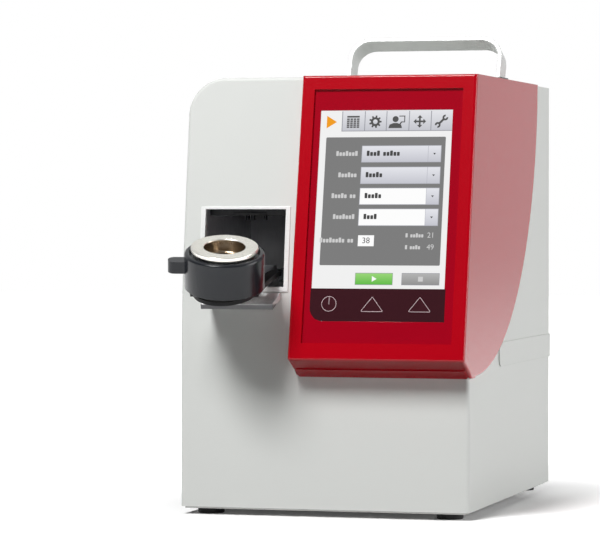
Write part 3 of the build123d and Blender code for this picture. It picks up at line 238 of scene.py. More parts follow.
def brushed_metal(
    name, colour, way, roughness=0.34, depth=0.00002, drift=0.08, metal=1.0
):
    """Metal brushed along one axis: long streaks in its colour, gloss and normal."""
    finish = Finish(name)
    stretch = [streak_along if axis == way else streak_across for axis in "XYZ"]
    streak = finish.noise(1.0, 3.0, 0.6, finish.place(stretch))
    smear = finish.noise(18.0, 2.0)
    tone = finish.mix(streak, shade(colour, 1 - drift), shade(colour, 1 + drift))
    return finish.surface(
        Base_Color=finish.mix(smear * 0.35, tone, shade(colour, 0.8)),
        Metallic=metal,
        Roughness=roughness + (streak - 0.5) * 0.2,
        Normal=finish.bump(streak, depth),
    )


def height_shaded_metal(name, lower, upper, low, high, metal):
    """Upright brushed metal whose tone goes from one colour to another with height: painted
    shade and painted light by height.
    """
    finish = Finish(name)
    stretch = (streak_across, streak_across, streak_along)
    streak = finish.noise(1.0, 3.0, 0.6, finish.place(stretch))
    cloud = finish.noise(45.0, 3.0)
    level = finish.node("ShaderNodeSeparateXYZ", {}, {0: finish.place()}, "Z")
    share = (level - low) * (1.0 / (high - low)) + (cloud - 0.5) * 0.35
    beneath = finish.mix(streak, shade(lower, 0.92), shade(lower, 1.08))
    aloft = finish.mix(streak, shade(upper, 0.85), shade(upper, 1.1))
    return finish.surface(
        Base_Color=finish.mix(finish.ramp(share, [(0.1, 0.0), (0.8, 1.0)]), beneath, aloft),
        Metallic=metal,
        Roughness=0.3 + (streak - 0.5) * 0.2,
        Normal=finish.bump(streak, 0.00002),
    )


def turned_metal(name, colour, centre, up, roughness=0.24, pitch=0.00022, depth=0.000008):
    """Metal turned on a lathe: fine rings about an axis through a point."""
    finish = Finish(name)
    where = finish.place(centre=centre)
    axis = tuple(up)
    offset = finish.node(
        "ShaderNodeVectorMath", {"operation": "CROSS_PRODUCT"}, {0: where, 1: axis}
    )
    out = finish.node(
        "ShaderNodeVectorMath", {"operation": "LENGTH"}, {0: offset}, "Value"
    )
    along = finish.node(
        "ShaderNodeVectorMath", {"operation": "DOT_PRODUCT"}, {0: where, 1: axis}, "Value"
    )
    wobble = finish.noise(60.0, 2.0)
    turn = (out + along) * (2 * pi / pitch) + wobble * 1.5
    ring = finish.node("ShaderNodeMath", {"operation": "SINE"}, {0: turn})
    height = ring * 0.5 + 0.5
    scratch = finish.noise(420.0, 3.0, 0.7)
    tone = finish.mix(scratch, shade(colour, 0.9), shade(colour, 1.08))
    return finish.surface(
        Base_Color=tone,
        Metallic=1.0,
        Roughness=roughness + height * 0.08 + (scratch - 0.5) * 0.12,
        Normal=finish.bump(height, depth),
    )


def lit_picture(name, colour, glow=0.97):
    """A patch of the lit screen, under the same clear face as the rest of it."""
    finish = Finish(name)
    cells = finish.noise(5200.0, 0.0)
    light = finish.mix(cells, shade(colour, glow * 0.985), shade(colour, glow))
    return finish.surface(
        Base_Color=finish.mix(cells, shade(colour, 0.03), shade(colour, 0.04)),
        Emission_Color=light,
        Emission_Strength=1.0,
        Roughness=0.12 + finish.noise(700.0, 3.0) * 0.05,
    )


def lit_gradient(name, top, foot):
    """A patch of the lit screen that darkens from its top to its foot."""
    finish = Finish(name)
    where = finish.node("ShaderNodeTexCoord", output="UV")
    height = finish.node("ShaderNodeSeparateXYZ", {}, {0: where}, "Y")
    cells = finish.noise(5200.0, 0.0)
    light = finish.mix(height + (cells - 0.5) * 0.02, foot, top)
    return finish.surface(
        Base_Color=finish.mix(cells, shade(foot, 0.03), shade(foot, 0.04)),
        Emission_Color=light,
        Emission_Strength=0.92,
        Roughness=0.12 + finish.noise(700.0, 3.0) * 0.05,
    )


def printed_ink(name, colour):
    """Screen-printed ink, slightly uneven in its tone."""
    finish = Finish(name)
    speck = finish.noise(3000.0, 3.0)
    return finish.surface(
        Base_Color=finish.mix(speck, shade(colour, 0.9), colour),
        Roughness=0.35 + speck * 0.1,
    )


housing_grey = srgb(214, 216, 213)
hood_red = srgb(174, 0, 20)
insert_red = srgb(160, 0, 26)
strip_brown = srgb(58, 24, 31)
holder_black = srgb(24, 27, 32)

housing_paint = textured_paint(
    "housing_paint", housing_grey, grain=1500.0, depth=0.00005, roughness=0.5, coat=0.0,
    drift=0.012, gleam=0.25,
)
panel_paint = textured_paint(
    "panel_paint", srgb(205, 207, 205), grain=1500.0, depth=0.00005, roughness=0.5, coat=0.0,
    drift=0.012,
)
handle_paint = textured_paint(
    "handle_paint", srgb(206, 208, 206), grain=900.0, depth=0.00002, roughness=0.34, coat=0.1,
    drift=0.01,
)
hood_paint = textured_paint(
    "hood_paint", hood_red, grain=1100.0, depth=0.00008, roughness=0.17, coat=0.0,
    drift=0.03, gleam=0.28,
)
# Near-black matte on the cup's carriage: painted shadow beneath the holder.
carriage_shadow_black = textured_paint(
    "carriage_shadow_black", srgb(14, 14, 15), grain=1300.0, depth=0.00004, roughness=0.5, coat=0.0,
    drift=0.05, gleam=0.15,
)
motor_dark = textured_paint(
    "motor_dark", srgb(38, 39, 41), grain=1300.0, depth=0.00004, roughness=0.5, coat=0.0,
    drift=0.05,
)

insert_gloss = polished_plastic("insert_gloss", insert_red)
strip_gloss = polished_plastic("strip_gloss", strip_brown)
key_gloss = polished_plastic("key_gloss", shade(strip_brown, 1.08), roughness=0.1)
board_green = polished_plastic("board_green", srgb(24, 92, 52), roughness=0.3)
tube_clear = polished_plastic("tube_clear", srgb(196, 204, 208), roughness=0.2)
stir_white = polished_plastic("stir_white", srgb(236, 236, 232), roughness=0.25)

holder_plastic = moulded_plastic(
    "holder_plastic", holder_black, roughness=0.22, grain=2600.0, depth=0.00001, gleam=0.3
)
black_plastic = moulded_plastic("black_plastic", srgb(30, 31, 33))
rubber_black = moulded_plastic(
    "rubber_black", srgb(26, 26, 27), roughness=0.75, grain=900.0, depth=0.00006
)
ceramic_white = moulded_plastic("ceramic_white", srgb(226, 225, 220), roughness=0.5)
shadow_black = moulded_plastic("shadow_black", srgb(16, 16, 17), roughness=0.7)

# The chamber's walls: near white low down and greyer towards the lid, painted light low down
# and painted shade beneath the lid.
chamber_metal = height_shaded_metal(
    "chamber_metal", srgb(252, 252, 254), srgb(170, 170, 174), low=0.165, high=0.225, metal=0.0
)
# The ledge: dark below 0.1576 m as a painted shadow line along its front, near white above as
# painted light on its top.
ledge_metal = height_shaded_metal(
    "ledge_metal", srgb(79, 79, 81), srgb(252, 252, 253), low=0.1576, high=0.16, metal=0.3
)
# The lid is near black so that its front, a thin band under the opening's top, shows as painted
# shade.
lid_metal = brushed_metal("lid_metal", srgb(44, 44, 45), "X", roughness=0.36)
trim_metal = brushed_metal(
    "trim_metal", srgb(242, 243, 242), "X", roughness=0.3, depth=0.00001, metal=0.05
)
steel = brushed_metal("steel", srgb(176, 176, 174), "X")
upright_steel = brushed_metal("upright_steel", srgb(180, 180, 178), "Z", roughness=0.25)
aluminium = brushed_metal("aluminium", srgb(188, 190, 192), "Y", roughness=0.4)
dark_steel = brushed_metal("dark_steel", srgb(40, 41, 43), "Y", roughness=0.42)
brass = brushed_metal("brass", srgb(205, 170, 95), "Z", roughness=0.3)
cup_metal = turned_metal("cup_metal", srgb(232, 229, 222), seat_point, seat_up)
bowl_metal = turned_metal(
    "bowl_metal", srgb(176, 162, 144), seat_point, seat_up, roughness=0.16
)

finish_of_slot = {
    "housing_paint": housing_paint,
    "handle_paint": handle_paint,
    "hood_paint": hood_paint,
    "insert_gloss": insert_gloss,
    "strip_gloss": strip_gloss,
    "key_print": key_gloss,
    "touch_panel": lit_picture("screen_white", srgb(240, 240, 240)),
    "holder_plastic": holder_plastic,
    "cup_metal": cup_metal,
    "chamber_metal": chamber_metal,
    "trim_metal": trim_metal,
    "black_plastic": black_plastic,
    "rubber_black": rubber_black,
    "steel": steel,
    "aluminium": aluminium,
    "brass": brass,
    "board_green": board_green,
    "motor_dark": motor_dark,
    "ceramic_white": ceramic_white,
    "tube_clear": tube_clear,
    "stir_white": stir_white,
}
finish_of_node = {
    "cup_carriage": carriage_shadow_black,
    "electrodes": dark_steel,
    "thermocouple": dark_steel,
    "carriage_rails": dark_steel,
    "lid_block": lid_metal,
    "loading_ledge": ledge_metal,
    "guide_rods": upright_steel,
    "lead_screw": upright_steel,
    "rear_panel": panel_paint,
    "side_strip": housing_paint,
}


# --------------------------------------------------------------------- meshes
def finish_piece(name, made, finishes, body, node=None, crease=35.0):
    """Turns a bmesh into a piece on a body, smooth except where it bends sharply."""
    mesh = bpy.data.meshes.new(name)
    made.to_mesh(mesh)
    made.free()
    for face in mesh.polygons:
        face.use_smooth = True
    mesh.set_sharp_from_angle(angle=radians(crease))
    for finish in finishes:
        mesh.materials.append(finish)
    piece = bpy.data.objects.new(name, mesh)
    bpy.context.scene.collection.objects.link(piece)
    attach(piece, body)
    if node:
        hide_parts(node)
    return piece


def merged(node):
    """A joined-up copy of a CAD node's loose triangles."""
    copy = bmesh.new()
    copy.from_mesh(frame["nodes"][node].data)
    bmesh.ops.remove_doubles(copy, verts=copy.verts, dist=1e-6)
    bmesh.ops.dissolve_limit(
        copy, angle_limit=radians(0.4), verts=copy.verts, edges=copy.edges
    )
    for layer in list(copy.loops.layers.uv):
        copy.loops.layers.uv.remove(layer)
    return copy


def add_bevel(piece, width, segments=2, limit=30.0):
    """Rounds a piece's sharp edges by a small radius."""
    bevel = piece.modifiers.new("edge_round", "BEVEL")
    bevel.width = width
    bevel.segments = segments
    bevel.limit_method = "ANGLE"
    bevel.angle_limit = radians(limit)
    bevel.harden_normals = True
    return piece


def even_shading(piece):
    """Lets broad faces set the shading, so that small roundings don't tint them."""
    weighted = piece.modifiers.new("even_shading", "WEIGHTED_NORMAL")
    weighted.keep_sharp = True
    return piece


def carried(node):
    """A CAD node's own shape, joined up and smoothly shaded, in its finish."""
    slot = slot_of_node[node]
    finish = finish_of_node.get(node, finish_of_slot[slot])
    return finish_piece(f"{node}_shape", merged(node), [finish], body_of_node[node], node)


# ------------------------------------------------------------- small shapes
def ring_points(x, y, radius, count=40, start=0.0, span=2 * pi):
    """Points round a circle, or round a part of it."""
    steps = count if span >= 2 * pi else count - 1
    turns = [start + span * step / steps for step in range(count)]
    return [(x + radius * cos(turn), y + radius * sin(turn)) for turn in turns]


def box_points(left, low, right, high, corner=0.0, steps=5):
    """Points round a rectangle, with its corners rounded."""
    if corner == 0:
        return [(left, low), (right, low), (right, high), (left, high)]
    points = []
    for index, (x, y) in enumerate(
        (
            (right - corner, high - corner),
            (left + corner, high - corner),
            (left + corner, low + corner),
            (right - corner, low + corner),
        )
    ):
        points += ring_points(x, y, corner, steps + 1, index * pi / 2, pi / 2 - 1e-6)
    return points


def turned_points(points, x, y, angle):
    """Points turned about (x, y) by an angle in degrees."""
    c, s = cos(radians(angle)), sin(radians(angle))
    return [
        (x + (px - x) * c - (py - y) * s, y + (px - x) * s + (py - y) * c)
        for px, py in points
    ]


def raised(made, points, low, high, finish=0):
    """A flat plate over an outline, with walls down to a lower level."""
    shade_map = made.loops.layers.uv.verify()
    xs, ys = [point[0] for point in points], [point[1] for point in points]
    wide, tall = max(xs) - min(xs), max(ys) - min(ys)
    top = [made.verts.new((x, y, high)) for x, y in points]
    foot = [made.verts.new((x, y, low)) for x, y in points]
    faces = [made.faces.new(top)]
    for index, vert in enumerate(top):
        after = (index + 1) % len(top)
        faces.append(made.faces.new((foot[index], foot[after], top[after], vert)))
    for face in faces:
        face.material_index = finish
        for loop in face.loops:
            x, y = loop.vert.co.x, loop.vert.co.y
            loop[shade_map].uv = ((x - min(xs)) / wide, (y - min(ys)) / tall)


def spun(made, profile, place, up, steps):
    """A turned shape: a profile of (radius, height) spun about an axis."""
    axis = Vector(up).normalized()
    across = axis.orthogonal().normalized()
    start = Vector(place)
    verts = [made.verts.new(start + across * r + axis * h) for r, h in profile]
    edges = [made.edges.new(pair) for pair in zip(verts, verts[1:])]
    bmesh.ops.spin(
        made,
        geom=verts + edges,
        cent=start,
        axis=axis,
        angle=2 * pi,
        steps=steps,
        use_merge=True,
    )


def cleaned(made):
    """Joins points that lie together and turns every face outwards."""
    bmesh.ops.remove_doubles(made, verts=made.verts, dist=1e-6)
    bmesh.ops.recalc_face_normals(made, faces=made.faces)
    return made


def rounded_profile(points, steps=5):
    """A profile with corners rounded: each point is (radius, height, round)."""
    profile = []
    for index, (r, h, size) in enumerate(points):
        if size == 0 or index in (0, len(points) - 1):
            profile.append((r, h))
            continue
        here = Vector((r, h))
        back = (Vector(points[index - 1][:2]) - here).normalized() * size
        ahead = (Vector(points[index + 1][:2]) - here).normalized() * size
        for step in range(steps + 1):
            t = step / steps
            spot = here + back * (1 - t) ** 2 + ahead * t ** 2
            profile.append(tuple(spot))
    return profile


def tube_ring(made, place, axis, radius, wire, steps=72, sides=12):
    """A closed ring of round wire about an axis."""
    circle = ring_points(radius, 0.0, wire, sides)
    circle.append(circle[0])
    spun(made, circle, place, axis, steps)


def rod(made, start, end, radius, sides=16):
    """A round rod between two points."""
    span = (end - start).length
    spun(made, [(0, 0), (radius, 0), (radius, span), (0, span)], start, end - start, sides)


def block(made, low, high):
    """An upright box between two corners."""
    verts = bmesh.ops.create_cube(made, size=1.0)["verts"]
    bmesh.ops.scale(made, vec=[b - a for a, b in zip(low, high)], verts=verts)
    bmesh.ops.translate(made, vec=[(a + b) / 2 for a, b in zip(low, high)], verts=verts)


def round_edges(made, edges, radius, segments):
    """Rounds some of a bmesh's edges."""
    bmesh.ops.bevel(
        made,
        geom=edges,
        offset=radius,
        segments=segments,
        profile=0.5,
        affect="EDGES",
        material=-1,
    )


def add_shape(made, other):
    """Puts another bmesh's shape into this one, and frees the other."""
    flat = bpy.data.meshes.new("added")
    other.to_mesh(flat)
    other.free()
    made.from_mesh(flat)
    bpy.data.meshes.remove(flat)


# ------------------------------------------------- the pieces that CAD shapes
turned_anew = {
    "sample_cup",
    "cup_holder",
    "feet",
    "fan_guard",
    "cover_screws",
    "display_hood",
}
softened = {
    "opening_trim": 0.00025,
    "loading_ledge": 0.0003,
    "handle_mounts": 0.0003,
    "display_bezel": 0.00015,
    "side_strip": 0.0003,
    "touch_glass": 0.0001,
    "power_inlet": 0.0003,
    "switch_body": 0.0003,
    "switch_rocker": 0.0003,
    "usb_ports": 0.0002,
    "network_jack": 0.0002,
    "vent_fitting": 0.0004,
    "rear_fan": 0.0003,
    "base_plate": 0.0002,
}
for node in frame["nodes"]:
    if node not in turned_anew:
        piece = carried(node)
        if node in softened:
            add_bevel(piece, softened[node])
        even_shading(piece)

# ---------------------------------------------------------- pieces turned anew
# The cup: a flanged metal dish that stands on the seat's axis.
cup_foot, cup_radius = 0.0005, 0.0190
step_low, step_radius = 0.0240, 0.0220
flange_low, flange_top, flange_radius = 0.0282, 0.0312, 0.02475
mouth_low, mouth_radius = 0.0304, 0.01575
bowl_floor, bowl_radius = 0.0212, 0.01515
cup_profile = rounded_profile(
    [
        (0.0, cup_foot, 0),
        (cup_radius, cup_foot, 0.0008),
        (cup_radius, step_low, 0.0003),
        (step_radius, step_low, 0.0003),
        (step_radius, flange_low, 0.0002),
        (flange_radius, flange_low, 0.0003),
        (flange_radius, flange_top, 0.0007),
        (mouth_radius, flange_top, 0.0003),
        (bowl_radius, mouth_low, 0.0003),
        (bowl_radius, bowl_floor, 0.0012),
        (0.0, bowl_floor, 0),
    ]
)
bowl_reach = 0.0154        # faces nearer the axis than this, and above the foot, are the bowl
cup = bmesh.new()
spun(cup, cup_profile, seat_point, seat_up, 128)
for face in cup.faces:
    arm = face.calc_center_median() - seat_point
    height = arm.dot(seat_up)
    if (arm - seat_up * height).length < bowl_reach and height > bowl_floor / 2:
        face.material_index = 1
finish_piece("cup_turned", cleaned(cup), [cup_metal, bowl_metal], "cup", "sample_cup")

# The holder: a thick black ring with a recess round the cup, and a tab to turn it by.
holder_points = [vert.co - seat_point for vert in frame["nodes"]["cup_holder"].data.vertices]
tip_reach = 0.0405         # only the tab's tip lies farther than this from the seat
tab_tips = [point for point in holder_points if point.length > tip_reach]
tab_way = sum(tab_tips, Vector())
tab_way = (tab_way - seat_up * tab_way.dot(seat_up)).normalized()
tab_side = seat_up.cross(tab_way)
well_radius, recess_radius, holder_radius = 0.0193, 0.0260, 0.0295
recess_floor, holder_top, rim_round = 0.0240, 0.0270, 0.0022
holder_profile = rounded_profile(
    [
        (well_radius, 0.0003, 0),
        (well_radius, 0.0, 0.0003),
        (holder_radius, 0.0, 0.0004),
        (holder_radius, holder_top, rim_round),
        (recess_radius, holder_top, 0.0003),
        (recess_radius, recess_floor, 0.0003),
        (well_radius, recess_floor, 0.0003),
        (well_radius, 0.0003, 0),
    ]
)
holder = bmesh.new()
spun(holder, holder_profile, seat_point, seat_up, 160)
tab_root, tab_tip, tab_half, tab_corner = 0.0223, 0.0415, 0.0055, 0.005
tab_low, tab_high, tab_round = 0.0115, 0.0205, 0.002
tab = bmesh.new()
tab_outline = box_points(tab_root, -tab_half, tab_tip, tab_half, tab_corner, 12)
raised(tab, tab_outline, tab_low, tab_high)
under = [vert for vert in tab.verts if vert.co.z < (tab_low + tab_high) / 2]
tab.faces.new(list(reversed(under)))
level_edges = [
    edge for edge in tab.edges if abs(edge.verts[0].co.z - edge.verts[1].co.z) < 1e-6
]
round_edges(tab, level_edges, tab_round, 5)
tab_place = Matrix((tab_way, tab_side, seat_up)).transposed().to_4x4()
tab.transform(Matrix.Translation(seat_point) @ tab_place)
add_shape(holder, tab)
finish_piece(
    "holder_turned", cleaned(holder), [holder_plastic], body_of_node["cup_holder"], "cup_holder"
)

# The four feet: rubber buttons with a rounded lower edge.
feet_low, feet_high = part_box("feet")
foot_radius = 0.010
foot_profile = rounded_profile(
    [
        (0.0, 0.0006, 0),
        (0.0052, 0.0006, 0.0002),
        (0.0056, 0.0, 0.0002),
        (foot_radius, 0.0, 0.0012),
        (foot_radius, feet_high[2], 0),
        (0.0, feet_high[2], 0),
    ]
)
feet = bmesh.new()
for x in (feet_low[0] + foot_radius, feet_high[0] - foot_radius):
    for y in (feet_low[1] + foot_radius, feet_high[1] - foot_radius):
        spun(feet, foot_profile, (x, y, 0.0), (0, 0, 1), 64)
finish_piece("feet_turned", cleaned(feet), [rubber_black], "root", "feet")

# The fan's guard: three rings and four spokes of round wire.
guard_low, guard_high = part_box("fan_guard")
guard_wire = (guard_high[1] - guard_low[1]) / 2
guard_y = (guard_low[1] + guard_high[1]) / 2
guard_x = (guard_low[0] + guard_high[0]) / 2
guard_z = (guard_low[2] + guard_high[2]) / 2
guard_middle = Vector((guard_x, guard_y, guard_z))
guard_rings = (0.014, 0.024, 0.034)
spoke_start, spoke_end = 0.008, 0.046
guard = bmesh.new()
for radius in guard_rings:
    tube_ring(guard, guard_middle, (0, 1, 0), radius, guard_wire)
for quarter in range(4):
    turn = radians(45 + 90 * quarter)
    out = Vector((cos(turn), 0, sin(turn)))
    rod(guard, guard_middle + out * spoke_start, guard_middle + out * spoke_end, guard_wire)
finish_piece("guard_wires", cleaned(guard), [upright_steel], "root", "fan_guard")


# The screws: pan heads whose crossed recess is a flat cross of painted shade on the dome.
def islands(made):
    """The separate lumps of a mesh, each as the two corners of its box."""
    left, boxes = set(made.verts), []
    while left:
        lump, edge_on = set(), [left.pop()]
        while edge_on:
            vert = edge_on.pop()
            lump.add(vert)
            for edge in vert.link_edges:
                other = edge.other_vert(vert)
                if other in left:
                    left.remove(other)
                    edge_on.append(other)
        spots = [vert.co for vert in lump]
        boxes.append(
            [[pick(spot[axis] for spot in spots) for axis in range(3)] for pick in (min, max)]
        )
    return boxes


screw_shape = merged("cover_screws")
screw_boxes = islands(screw_shape)
screw_shape.free()
screws = bmesh.new()
for low, high in screw_boxes:
    middle = Vector([(a + b) / 2 for a, b in zip(low, high)])
    spans = [b - a for a, b in zip(low, high)]
    thick, radius = min(spans), max(spans) / 2
    axis = Vector([float(span == thick) for span in spans])
    if axis.z:
        axis = -axis
    foot = middle - axis * thick / 2
    dome = [
        (0.0, 0.0, 0),
        (radius, 0.0, 0),
        (radius, thick * 0.45, thick * 0.3),
        (radius * 0.55, thick, thick * 0.3),
        (0.0, thick, 0),
    ]
    spun(screws, rounded_profile(dome), foot, axis, 40)
    # The recess is not cut: a flat cross of painted shade lies on the dome.
    recess = bmesh.new()
    arm, half = radius * 0.56, radius * 0.11
    cross = [
        (half, half),
        (half, arm),
        (-half, arm),
        (-half, half),
        (-arm, half),
        (-arm, -half),
        (-half, -half),
        (-half, -arm),
        (half, -arm),
        (half, -half),
        (arm, -half),
        (arm, half),
    ]
    raised(recess, cross, thick - 0.00002, thick + 0.00001, 1)
    recess.transform(axis.to_track_quat("Z", "Y").to_matrix().to_4x4())
    bmesh.ops.translate(recess, vec=foot, verts=recess.verts)
    add_shape(screws, recess)
finish_piece("screw_heads", cleaned(screws), [steel, shadow_black], "root", "cover_screws")

# Brass contacts in the network socket.
contact_count, contact_pitch, contact_half = 8, 0.00102, 0.00028
contact_back, contact_front = 0.0112, 0.0035      # from the socket's outer face
contact_low, contact_high = 0.0062, 0.0056        # down from the socket's top
socket_low, socket_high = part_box("network_jack")
contacts = bmesh.new()
for number in range(contact_count):
    place = number - (contact_count - 1) / 2
    x = (socket_low[0] + socket_high[0]) / 2 + place * contact_pitch
    block(
        contacts,
        (x - contact_half, socket_high[1] - contact_back, socket_high[2] - contact_low),
        (x + contact_half, socket_high[1] - contact_front, socket_high[2] - contact_high),
    )
finish_piece("network_contacts", contacts, [brass], "root")

# -------------------------------------------------------- the face of the hood
across_face = Vector((1, 0, 0))
face_up = face_out.cross(across_face)
face_place = Matrix((across_face, face_up, face_out)).transposed().to_4x4()
front_depth = 0.00002      # what lies this close behind a front still belongs to it


def face_extent(node):
    """The left, right, low, high and level of a node's front on the hood's face."""
    points = [vert.co for vert in frame["nodes"][node].data.vertices]
    level = max(point.dot(face_out) for point in points)
    front = [point for point in points if point.dot(face_out) > level - front_depth]
    xs = [point.x for point in front]
    ups = [point.dot(face_up) for point in front]
    return min(xs), max(xs), min(ups), max(ups), level


# The hood: a painted shell whose front is rounded along its outer edges.
hood_left, hood_right, face_low, face_high, hood_level = face_extent("display_hood")
hood = merged("display_hood")


def on_outline(edge):
    """Whether an edge runs along the outside of the hood's front."""
    if len(edge.link_faces) != 2 or edge.calc_face_angle() < radians(20):
        return False
    if max(face.normal.dot(face_out) for face in edge.link_faces) < 0.99:
        return False
    middle = (edge.verts[0].co + edge.verts[1].co) / 2
    up = middle.dot(face_up)
    inset = min(middle.x - hood_left, hood_right - middle.x, up - face_low, face_high - up)
    return inset < 0.0005


hood_round = 0.0016
round_edges(hood, [edge for edge in hood.edges if on_outline(edge)], hood_round, 4)
hood_body = body_of_node["display_hood"]
hood_piece = finish_piece("hood_shell", hood, [hood_paint], hood_body, "display_hood")
add_bevel(hood_piece, 0.00025)
even_shading(hood_piece)

# A lip lies along the foot of the slope under the hood's front.
hood_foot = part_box("display_hood")[0][2]
foot_points = [
    vert.co
    for vert in frame["nodes"]["display_hood"].data.vertices
    if vert.co.z < hood_foot + 0.0001
]
slope_foot = Vector((0.0, min(point.y for point in foot_points), hood_foot))
slope_top = face_up * face_low + face_out * hood_level
slope_up = (slope_top - slope_foot).normalized()
slope_run = (slope_top - slope_foot).length
slope_place = Matrix((across_face, slope_up, across_face.cross(slope_up))).transposed()
lip_share = 0.42           # of the slope's run
lip_proud, lip_sunk, lip_round = 0.0009, 0.001, 0.0006
lip_side, lip_start, lip_corner = 0.0002, 0.0004, 0.0012
lip = bmesh.new()
lip_outline = box_points(
    hood_left + lip_side, lip_start, hood_right - lip_side, lip_share * slope_run, lip_corner
)
raised(lip, lip_outline, -lip_sunk, lip_proud)
proud_edges = [edge for edge in lip.edges if min(vert.co.z for vert in edge.verts) > 0.0]
round_edges(lip, proud_edges, lip_round, 3)
lip.transform(Matrix.Translation(slope_foot) @ slope_place.to_4x4())
finish_piece("hood_lip", lip, [hood_paint], hood_body)

screen_left, screen_right, screen_low, screen_high, screen_level = face_extent("touch_glass")
screen_width = screen_right - screen_left
screen_height = screen_high - screen_low
layer = 0.00002            # each layer of the picture lies this much over the last


def screen_point(u, v):
    """A place on the screen from its share across and its share down."""
    return screen_left + u * screen_width, screen_high - v * screen_height


def patch(made, u, v, level, finish, corner=0.0):
    """A rectangle of the picture between two shares across and two shares down."""
    left, high = screen_point(u[0], v[0])
    right, low = screen_point(u[1], v[1])
    base = screen_level + level * layer
    raised(made, box_points(left, low, right, high, corner), base - layer, base, finish)


def shape(made, points, level, finish):
    """Any outline of the picture, in the face's own metres."""
    base = screen_level + level * layer
    raised(made, points, base - layer, base, finish)


def word_bar(made, u, v, height, lengths, level, finish, align_right=False):
    """Words shown as rows of small blocks that spell nothing."""
    cell = height * 0.52
    gap = cell * 0.26
    x, y = screen_point(u, v)
    total = sum(lengths) * (cell + gap) + (len(lengths) - 1) * cell
    if align_right:
        x -= total
    for number, length in enumerate(lengths):
        for step in range(length):
            tall = 1.0 if (step + number) % 3 == 0 else 0.74
            outline = box_points(
                x, y - height * 0.36, x + cell, y + height * (tall - 0.36), cell * 0.2, 2
            )
            shape(made, outline, level, finish)
            x += cell + gap
        x += cell


(
    tab_face,
    icon_grey,
    play_orange,
    panel_grey,
    field_grey,
    field_white,
    label_white,
    ink_dark,
    run_green,
    stop_grey,
    edge_grey,
    field_edge,
) = range(12)
screen_finishes = [
    lit_gradient("tab_face", srgb(233, 234, 238), srgb(199, 200, 208)),
    lit_picture("icon_grey", srgb(84, 84, 84)),
    lit_picture("play_orange", srgb(240, 156, 30)),
    lit_picture("panel_grey", srgb(124, 124, 124)),
    lit_gradient("field_grey", srgb(233, 234, 240), srgb(200, 201, 210)),
    lit_picture("field_white", srgb(252, 252, 252)),
    lit_picture("label_white", srgb(205, 205, 205)),
    lit_picture("ink_dark", srgb(70, 70, 70)),
    lit_gradient("run_green", srgb(158, 219, 124), srgb(98, 190, 74)),
    lit_gradient("stop_grey", srgb(183, 183, 183), srgb(148, 148, 148)),
    lit_picture("edge_grey", srgb(150, 151, 158)),
    lit_picture("field_edge", srgb(176, 177, 186)),
]
picture = bmesh.new()

# The row of tabs: the first is chosen, and the others carry one symbol each.
tab_edges = (0.162, 0.335, 0.500, 0.672, 0.838, 1.0)
tab_foot = 0.118
for left, right in zip(tab_edges, tab_edges[1:]):
    patch(picture, (left, right), (0.0, tab_foot), 1, tab_face)
    patch(picture, (left, left + 0.006), (0.004, tab_foot), 2, edge_grey)
patch(picture, (tab_edges[0], 1.0), (tab_foot - 0.004, tab_foot), 2, edge_grey)
tab_middle = 0.064


def tab_centre(index):
    """The middle of a tab, counted from the left."""
    edges = (0.0,) + tab_edges
    return screen_point((edges[index] + edges[index + 1]) / 2, tab_middle)


symbol = 0.0048            # half the size of a symbol

x, y = tab_centre(0)
shape(
    picture,
    [(x - 0.72 * symbol, y - symbol), (x + 0.9 * symbol, y), (x - 0.72 * symbol, y + symbol)],
    1,
    play_orange,
)

x, y = tab_centre(1)
shape(
    picture,
    box_points(x - symbol, y + 0.68 * symbol, x + symbol, y + 0.95 * symbol),
    2,
    icon_grey,
)
for column in range(4):
    for row in range(5):
        left = x - symbol + column * symbol * 0.525
        low = y - 0.95 * symbol + row * symbol * 0.315
        shape(
            picture,
            box_points(left, low, left + 0.42 * symbol, low + 0.24 * symbol),
            2,
            icon_grey,
        )

x, y = tab_centre(2)
teeth = 9
gear = []
for tooth in range(teeth):
    for share, radius in ((-0.30, 0.72), (-0.18, 1.0), (0.18, 1.0), (0.30, 0.72)):
        turn = 2 * pi * (tooth + share) / teeth
        gear.append((x + symbol * radius * cos(turn), y + symbol * radius * sin(turn)))
shape(picture, gear, 2, icon_grey)
shape(picture, ring_points(x, y, 0.36 * symbol, 24), 3, tab_face)

x, y = tab_centre(3)
figure = 0.0055            # half the size of the person
head_x = x - 0.28 * figure
shape(picture, ring_points(head_x, y + 0.34 * figure, 0.42 * figure, 24), 2, icon_grey)
shoulders = [
    (head_x - 0.95 * figure, y - 0.9 * figure),
    (head_x + 0.95 * figure, y - 0.9 * figure),
    (head_x + 0.8 * figure, y - 0.42 * figure),
    (head_x + 0.28 * figure, y - 0.2 * figure),
    (head_x - 0.28 * figure, y - 0.2 * figure),
    (head_x - 0.8 * figure, y - 0.42 * figure),
]
shape(picture, shoulders, 2, icon_grey)
board_left, board_low = x + 0.22 * figure, y - 0.12 * figure
board_right, board_high = x + 1.05 * figure, y + 0.82 * figure
line = 0.13 * figure
for outline in (
    box_points(board_left, board_high - line, board_right, board_high),
    box_points(board_right - line, board_low, board_right, board_high),
    box_points(board_left + 0.3 * figure, board_low, board_right, board_low + line),
    turned_points(
        box_points(x + 0.3 * figure, y - 0.62 * figure, x + 0.48 * figure, y),
        x + 0.4 * figure,
        y - 0.3 * figure,
        -38,
    ),
):
    shape(picture, outline, 2, icon_grey)

x, y = tab_centre(4)
for quarter in range(4):
    arrow = [
        (x - 0.14 * symbol, y),
        (x + 0.14 * symbol, y),
        (x + 0.14 * symbol, y + 0.56 * symbol),
        (x + 0.42 * symbol, y + 0.56 * symbol),
        (x, y + symbol),
        (x - 0.42 * symbol, y + 0.56 * symbol),
        (x - 0.14 * symbol, y + 0.56 * symbol),
    ]
    shape(picture, turned_points(arrow, x, y, 90 * quarter), 2, icon_grey)

